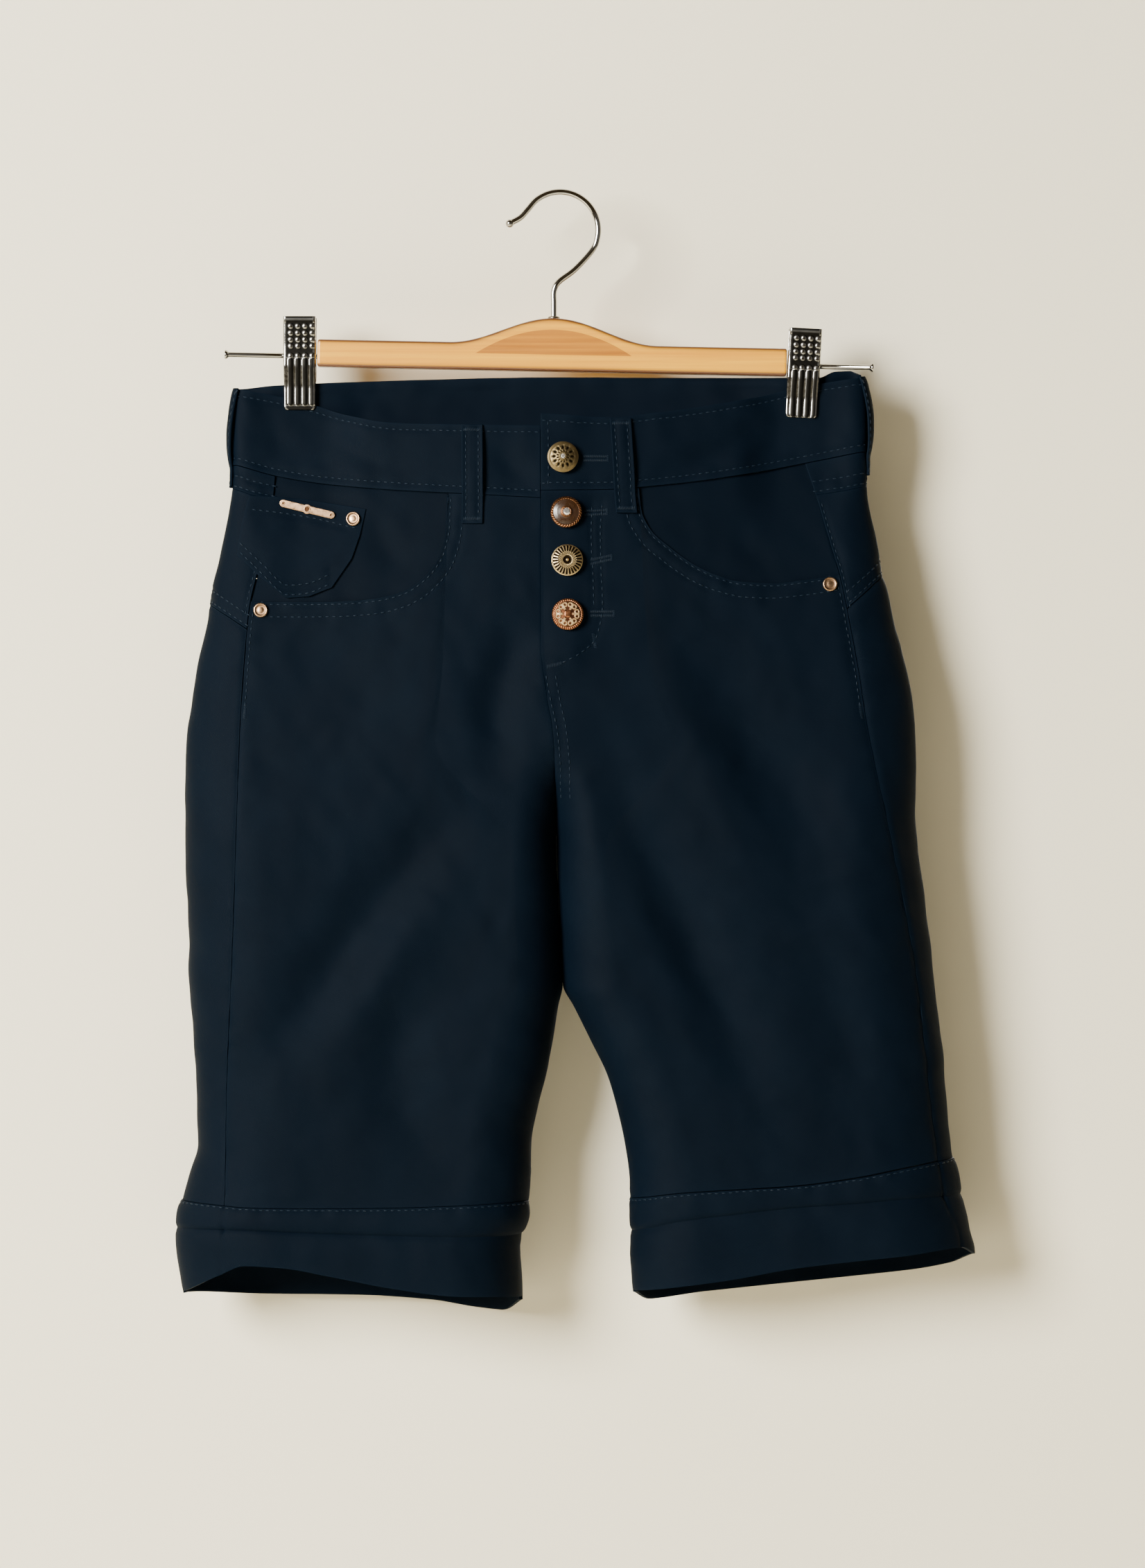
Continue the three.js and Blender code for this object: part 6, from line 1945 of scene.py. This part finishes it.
def jaw_relief(x, down):
    """Rows of round bumps above four ribs on the face of a clip, with the mask of a painted reflection on
    them.
    """
    columns = -CLIP["width"] / 2 + 1.1 + 1.35 + 1.3 + np.arange(4) * 3.9
    height = np.zeros_like(x)
    ribs = np.zeros_like(x)
    for column in columns:
        for level in (5.5, 9.2, 12.8, 16.2, 21.4):
            distance = np.hypot(x - column, down - level)
            height = np.maximum(height, 0.55 * np.sqrt(np.clip(1 - (distance / 1.45) ** 2, 0, 1)))
        reach = np.clip(np.abs(down - 35.5) - 11.6, 0, None)
        distance = np.hypot(x - column, reach)
        ribs = np.maximum(ribs, 0.6 * np.sqrt(np.clip(1 - (distance / 1.45) ** 2, 0, 1)))
    lip = 0.35 * np.clip(1 - np.abs(down - 1.6) / 1.9, 0, 1) ** 0.5
    height = np.maximum(np.maximum(height, ribs), lip)
    # Painted reflection on the chrome: bright is a painted highlight on the bump tops and between the ribs,
    # and slot is the painted dark reflection on the flat sheet and the rib tops.
    on_ribs = window(22.4, 48.4, 0.3, down)
    bright = lerp(smooth(0.25, 0.5, height), 1 - smooth(0.12, 0.42, ribs), on_ribs)
    slot = (1 - bright) * window(-7.5, 7.5, 0.2, x)
    return height, slot


def build_jaw(side, face):
    """One bent jaw: a pressed sheet whose edges are folded back at the sides."""
    place = CLIPS[side]
    height = place["top"] - place["bottom"]
    sign = -1 if face == "front" else 1
    fine = face == "front"
    half = CLIP["width"] / 2
    across = np.linspace(-half + 0.5, half - 0.5, 52 if fine else 14)
    fold = np.array([3.0, 2.2, 1.4, 0.7])
    x = np.concatenate([np.full(4, -half), [-half + 0.15], across, [half - 0.15], np.full(4, half)])
    back = np.concatenate([fold, [0.2], np.zeros_like(across), [0.2], fold[::-1]])
    down = np.linspace(0, height, 140 if fine else 40)
    knots = np.array([-z for _, z in JAW] + [height])
    depth = np.interp(down, knots, [y for y, _ in JAW] + [JAW[-1][0]])
    depth = np.convolve(np.pad(depth, 3, mode="edge"), np.ones(7) / 7, mode="valid")
    corner = np.clip((down - (height - 2.2)) / 2.2, 0, 1)
    narrow = 1 - (1 - np.sqrt(1 - corner ** 2 * 0.98)) * 0.22
    rise, slot = jaw_relief(x[None, :] * np.ones((len(down), 1)), down[:, None] * np.ones((1, len(x))))
    if not fine:
        rise, slot = rise * 0, slot * 0
    on_face = (back == 0)[None, :]
    folded = np.minimum(back[None, :], np.clip(depth - 2.9, 0.25, 3)[:, None])
    points = np.zeros((len(down), len(x), 3))
    points[..., 0] = x[None, :] * narrow[:, None]
    points[..., 1] = sign * (depth[:, None] + CLIP["sheet"] / 2 - folded + rise * on_face)
    points[..., 2] = -down[:, None]
    # This mark carries the jaw's painted reflection, which darkens the chrome on the flat sheet and the rib
    # tops.
    bm = bent_grid(points * MM, marks={"hollows_and_painted_reflection": slot * on_face})
    bmesh.ops.recalc_face_normals(bm, faces=bm.faces)
    lean = Matrix.Rotation(math.radians(place["lean"]), 4, "Y")
    where = shifted(place["x"], 0, place["top"])
    move(bm, where @ lean)
    material = metal("Pressed chrome", (0.36, 0.36, 0.35), (0.01, 0.0095, 0.0085), 0.02, 0.03)
    nodes = ("clip_" + face + "_" + side,)
    piece = add_piece("clip_" + face + "_jaw_" + side, bm, material, nodes, 60)
    wall = piece.modifiers.new("Sheet thickness", "SOLIDIFY")
    wall.thickness = 0.7 * MM
    wall.offset = 0
    return piece


def build_spring(side):
    place = CLIPS[side]
    tilt = math.radians(HANGER["tilt"])
    level = ROD["z"] - (place["x"] - HANGER["centre"]) * math.tan(tilt)
    turns = np.linspace(0, SPRING["turns"], SPRING["turns"] * 22 + 1)
    mean = SPRING["outer"] - SPRING["wire"] / 2
    half = SPRING["half"] - SPRING["wire"] / 2
    angle = turns * 2 * np.pi
    coil = np.stack([np.linspace(-half, half, len(turns)), mean * np.cos(angle), mean * np.sin(angle)], -1)
    bm = tube(coil * MM, SPRING["wire"] / 2 * MM, 10)
    where = shifted(place["x"], 0, level) @ Matrix.Rotation(tilt, 4, "Y")
    move(bm, where)
    steel = chrome("Spring steel", (0.5, 0.5, 0.5), 0.16)
    return add_piece("clip_spring_coil_" + side, bm, steel, ("clip_spring_" + side,), 60)


# Stage: the wall and floor, the lights and the camera

def wall_paint():
    """Pale paint. The wall lets light through from behind, so that the back can be seen and lit."""
    material, tree, shader = start_material("Pale wall", Roughness=0.9)
    cloud = noise(tree, object_place(tree), 1.1, 3.0)
    colour = mix_colour(tree, cloud, rgba((0.815, 0.76, 0.6)), rgba((0.865, 0.815, 0.66)))
    paint(tree, shader, colour)
    clear = add_node(tree, "ShaderNodeBsdfTransparent")
    behind = add_node(tree, "ShaderNodeNewGeometry").outputs["Backfacing"]
    shadow = add_node(tree, "ShaderNodeLightPath").outputs["Is Shadow Ray"]
    share = maths(tree, "MAXIMUM", behind, shadow)
    mixed = add_node(tree, "ShaderNodeMixShader", {0: share, 1: shader.outputs[0], 2: clear.outputs[0]})
    tree.links.new(mixed.outputs[0], tree.nodes["Material Output"].inputs["Surface"])
    return material


def flat_plane(name, width, length, matrix, material):
    bm = bmesh.new()
    bmesh.ops.create_grid(bm, x_segments=1, y_segments=1, size=0.5)
    bmesh.ops.scale(bm, vec=(width, length, 1), verts=bm.verts)
    move(bm, matrix)
    mesh = bpy.data.meshes.new(name)
    bm.to_mesh(mesh)
    bm.free()
    mesh.materials.append(material)
    return new_object(name, mesh)


def soft_light(name, place, target, size, power, colour):
    data = bpy.data.lights.new(name, "AREA")
    data.shape = "DISK"
    data.size = size
    data.energy = power
    data.color = colour
    lamp = new_object(name, data)
    lamp.location = place
    lamp.rotation_euler = (Vector(target) - Vector(place)).to_track_quat("-Z", "Y").to_euler()
    return lamp


def build_stage():
    stage = bpy.context.scene.shorts_stage
    upright = Matrix.Translation((0, stage.wall, 0)) @ Matrix.Rotation(math.radians(90), 4, "X")
    wall = flat_plane("stage_wall", 6, 4, upright, wall_paint())
    floor = flat_plane("stage_floor", 6, 4, Matrix.Translation((0, 0, -1.2)), wall.data.materials[0])
    middle = (0.0, 0.0, -0.33)
    lights = [
        soft_light("stage_key", (-1.92, -2.43, 0.5), middle, 1.45, stage.key, (1.0, 0.965, 0.89)),
        soft_light("stage_fill", (1.5, -2.0, 0.1), middle, 1.6, stage.fill, (0.93, 0.96, 1.0)),
        soft_light("stage_back", (0.5, 2.8, 0.5), middle, 1.6, stage.back, (1.0, 0.98, 0.95)),
    ]
    world = bpy.data.worlds.new("Pale room")
    world.use_nodes = True
    tree = world.node_tree
    dim = tree.nodes["Background"]
    dim.inputs["Color"].default_value = (1.0, 0.7, 0.34, 1)
    dim.inputs["Strength"].default_value = 0.075
    pale = add_node(tree, "ShaderNodeBackground", {"Color": (0.83, 0.79, 0.68, 1), "Strength": 1.3})
    seen = add_node(tree, "ShaderNodeLightPath").outputs["Is Camera Ray"]
    mixed = add_node(tree, "ShaderNodeMixShader", {0: seen, 1: dim.outputs[0], 2: pale.outputs[0]})
    tree.links.new(mixed.outputs[0], tree.nodes["World Output"].inputs["Surface"])
    bpy.context.scene.world = world
    data = bpy.data.cameras.new("photo_camera")
    data.sensor_fit = "AUTO"
    data.sensor_width = 36
    data.lens = 36 * stage.distance / stage.height
    data.clip_end = 20
    camera = new_object("photo_camera", data)
    camera.location = (stage.across, -stage.distance, stage.level)
    camera.rotation_euler = (math.radians(90), 0, 0)
    bpy.context.scene.camera = camera


# Operators

class ShortsFronts(bpy.types.Operator):
    """Build the two fronts of the shorts"""
    bl_idname = "shorts.fronts"
    bl_label = "Fronts"

    def execute(self, context):
        for side in "RL":
            build_front(side)
        return {"FINISHED"}


class ShortsBacks(bpy.types.Operator):
    """Build the two backs"""
    bl_idname = "shorts.backs"
    bl_label = "Backs"

    def execute(self, context):
        for side in "RL":
            build_back_panel(side)
        return {"FINISHED"}


class ShortsYokes(bpy.types.Operator):
    """Build the back yokes and the narrow bands above them"""
    bl_idname = "shorts.yokes"
    bl_label = "Yokes and bands"

    def execute(self, context):
        for side in "RL":
            build_yoke(side)
            build_band(side)
        return {"FINISHED"}


class ShortsWaistband(bpy.types.Operator):
    """Build the three pieces of the waistband"""
    bl_idname = "shorts.waistband"
    bl_label = "Waistband"

    def execute(self, context):
        for node, (side, start, end, flat) in WAISTBANDS.items():
            build_waistband(node, side, start, end, flat)
        return {"FINISHED"}


class ShortsUnderlay(bpy.types.Operator):
    """Build the strip behind the fly"""
    bl_idname = "shorts.underlay"
    bl_label = "Fly underlay"

    def execute(self, context):
        build_underlay()
        return {"FINISHED"}


class ShortsFacings(bpy.types.Operator):
    """Build the two pocket facings"""
    bl_idname = "shorts.facings"
    bl_label = "Pocket facings"

    def execute(self, context):
        for side in "RL":
            build_facing(side)
        return {"FINISHED"}


class ShortsCoinPocket(bpy.types.Operator):
    """Build the pointed coin pocket"""
    bl_idname = "shorts.coin_pocket"
    bl_label = "Coin pocket"

    def execute(self, context):
        build_coin_pocket()
        return {"FINISHED"}


class ShortsCuffs(bpy.types.Operator):
    """Build the two hem cuffs"""
    bl_idname = "shorts.cuffs"
    bl_label = "Cuffs"

    def execute(self, context):
        for side in "RL":
            build_cuff(side)
        return {"FINISHED"}


class ShortsLoops(bpy.types.Operator):
    """Build the five belt loops"""
    bl_idname = "shorts.loops"
    bl_label = "Belt loops"

    def execute(self, context):
        for node in (*FRONT_LOOPS, *LOOPS):
            build_loop(node)
        return {"FINISHED"}


class ShortsStitches(bpy.types.Operator):
    """Lay the topstitching, bartacks and buttonholes on the cloth that is there"""
    bl_idname = "shorts.stitches"
    bl_label = "Stitches"

    def execute(self, context):
        build_front_stitches()
        build_back_stitches()
        build_waist_stitches()
        build_buttonholes()
        return {"FINISHED"}


class ShortsButtons(bpy.types.Operator):
    """Build the four unlike fly buttons"""
    bl_idname = "shorts.buttons"
    bl_label = "Buttons"

    def execute(self, context):
        for node in BUTTONS:
            build_button(node)
        return {"FINISHED"}


class ShortsRivets(bpy.types.Operator):
    """Build the three rivets"""
    bl_idname = "shorts.rivets"
    bl_label = "Rivets"

    def execute(self, context):
        for node in RIVETS:
            build_rivet(node)
        return {"FINISHED"}


class ShortsPlate(bpy.types.Operator):
    """Build the bare plate on the coin pocket"""
    bl_idname = "shorts.plate"
    bl_label = "Plate"

    def execute(self, context):
        build_plate()
        return {"FINISHED"}


class ShortsHangerBar(bpy.types.Operator):
    """Build the wooden bar with its inlay"""
    bl_idname = "shorts.hanger_bar"
    bl_label = "Hanger bar"

    def execute(self, context):
        build_bar()
        build_inlay()
        return {"FINISHED"}


class ShortsHook(bpy.types.Operator):
    """Build the hook and the collar at its foot"""
    bl_idname = "shorts.hook"
    bl_label = "Hook"

    def execute(self, context):
        build_hook()
        return {"FINISHED"}


class ShortsClips(bpy.types.Operator):
    """Build the rods with their jaws and springs"""
    bl_idname = "shorts.clips"
    bl_label = "Rods and clips"

    def execute(self, context):
        for side in "RL":
            build_rod(side)
            build_jaw(side, "front")
            build_jaw(side, "back")
            build_spring(side)
        return {"FINISHED"}


class ShortsStageSet(bpy.types.Operator):
    """Set the wall, the floor, the lights and the camera"""
    bl_idname = "shorts.stage"
    bl_label = "Stage"

    def execute(self, context):
        build_stage()
        return {"FINISHED"}


PARTS = (
    ShortsFronts, ShortsBacks, ShortsYokes, ShortsWaistband, ShortsUnderlay, ShortsFacings, ShortsCoinPocket,
    ShortsCuffs, ShortsLoops, ShortsStitches, ShortsButtons, ShortsRivets, ShortsPlate, ShortsHangerBar,
    ShortsHook, ShortsClips, ShortsStageSet,
)


class ShortsPanel(bpy.types.Panel):
    """Lists the pieces of the shorts"""
    bl_idname = "VIEW3D_PT_shorts"
    bl_label = "Bermuda shorts"
    bl_space_type = "VIEW_3D"
    bl_region_type = "UI"
    bl_category = "Shorts"

    def draw(self, context):
        for part in PARTS:
            self.layout.operator(part.bl_idname)


SETTINGS = {"shorts_cloth": ShortsCloth, "shorts_look": ShortsLook, "shorts_stage": ShortsStage}


def register():
    for item in (*SETTINGS.values(), *PARTS, ShortsPanel):
        bpy.utils.register_class(item)
    for name, group in SETTINGS.items():
        setattr(bpy.types.Scene, name, bpy.props.PointerProperty(type=group))


def unregister():
    for name in SETTINGS:
        delattr(bpy.types.Scene, name)
    for item in (ShortsPanel, *reversed(PARTS), *reversed(SETTINGS.values())):
        bpy.utils.unregister_class(item)


def main():
    register()
    for part in PARTS:
        name = part.bl_idname.split(".")[1]
        getattr(bpy.ops.shorts, name)()


if __name__ == "__main__":
    main()
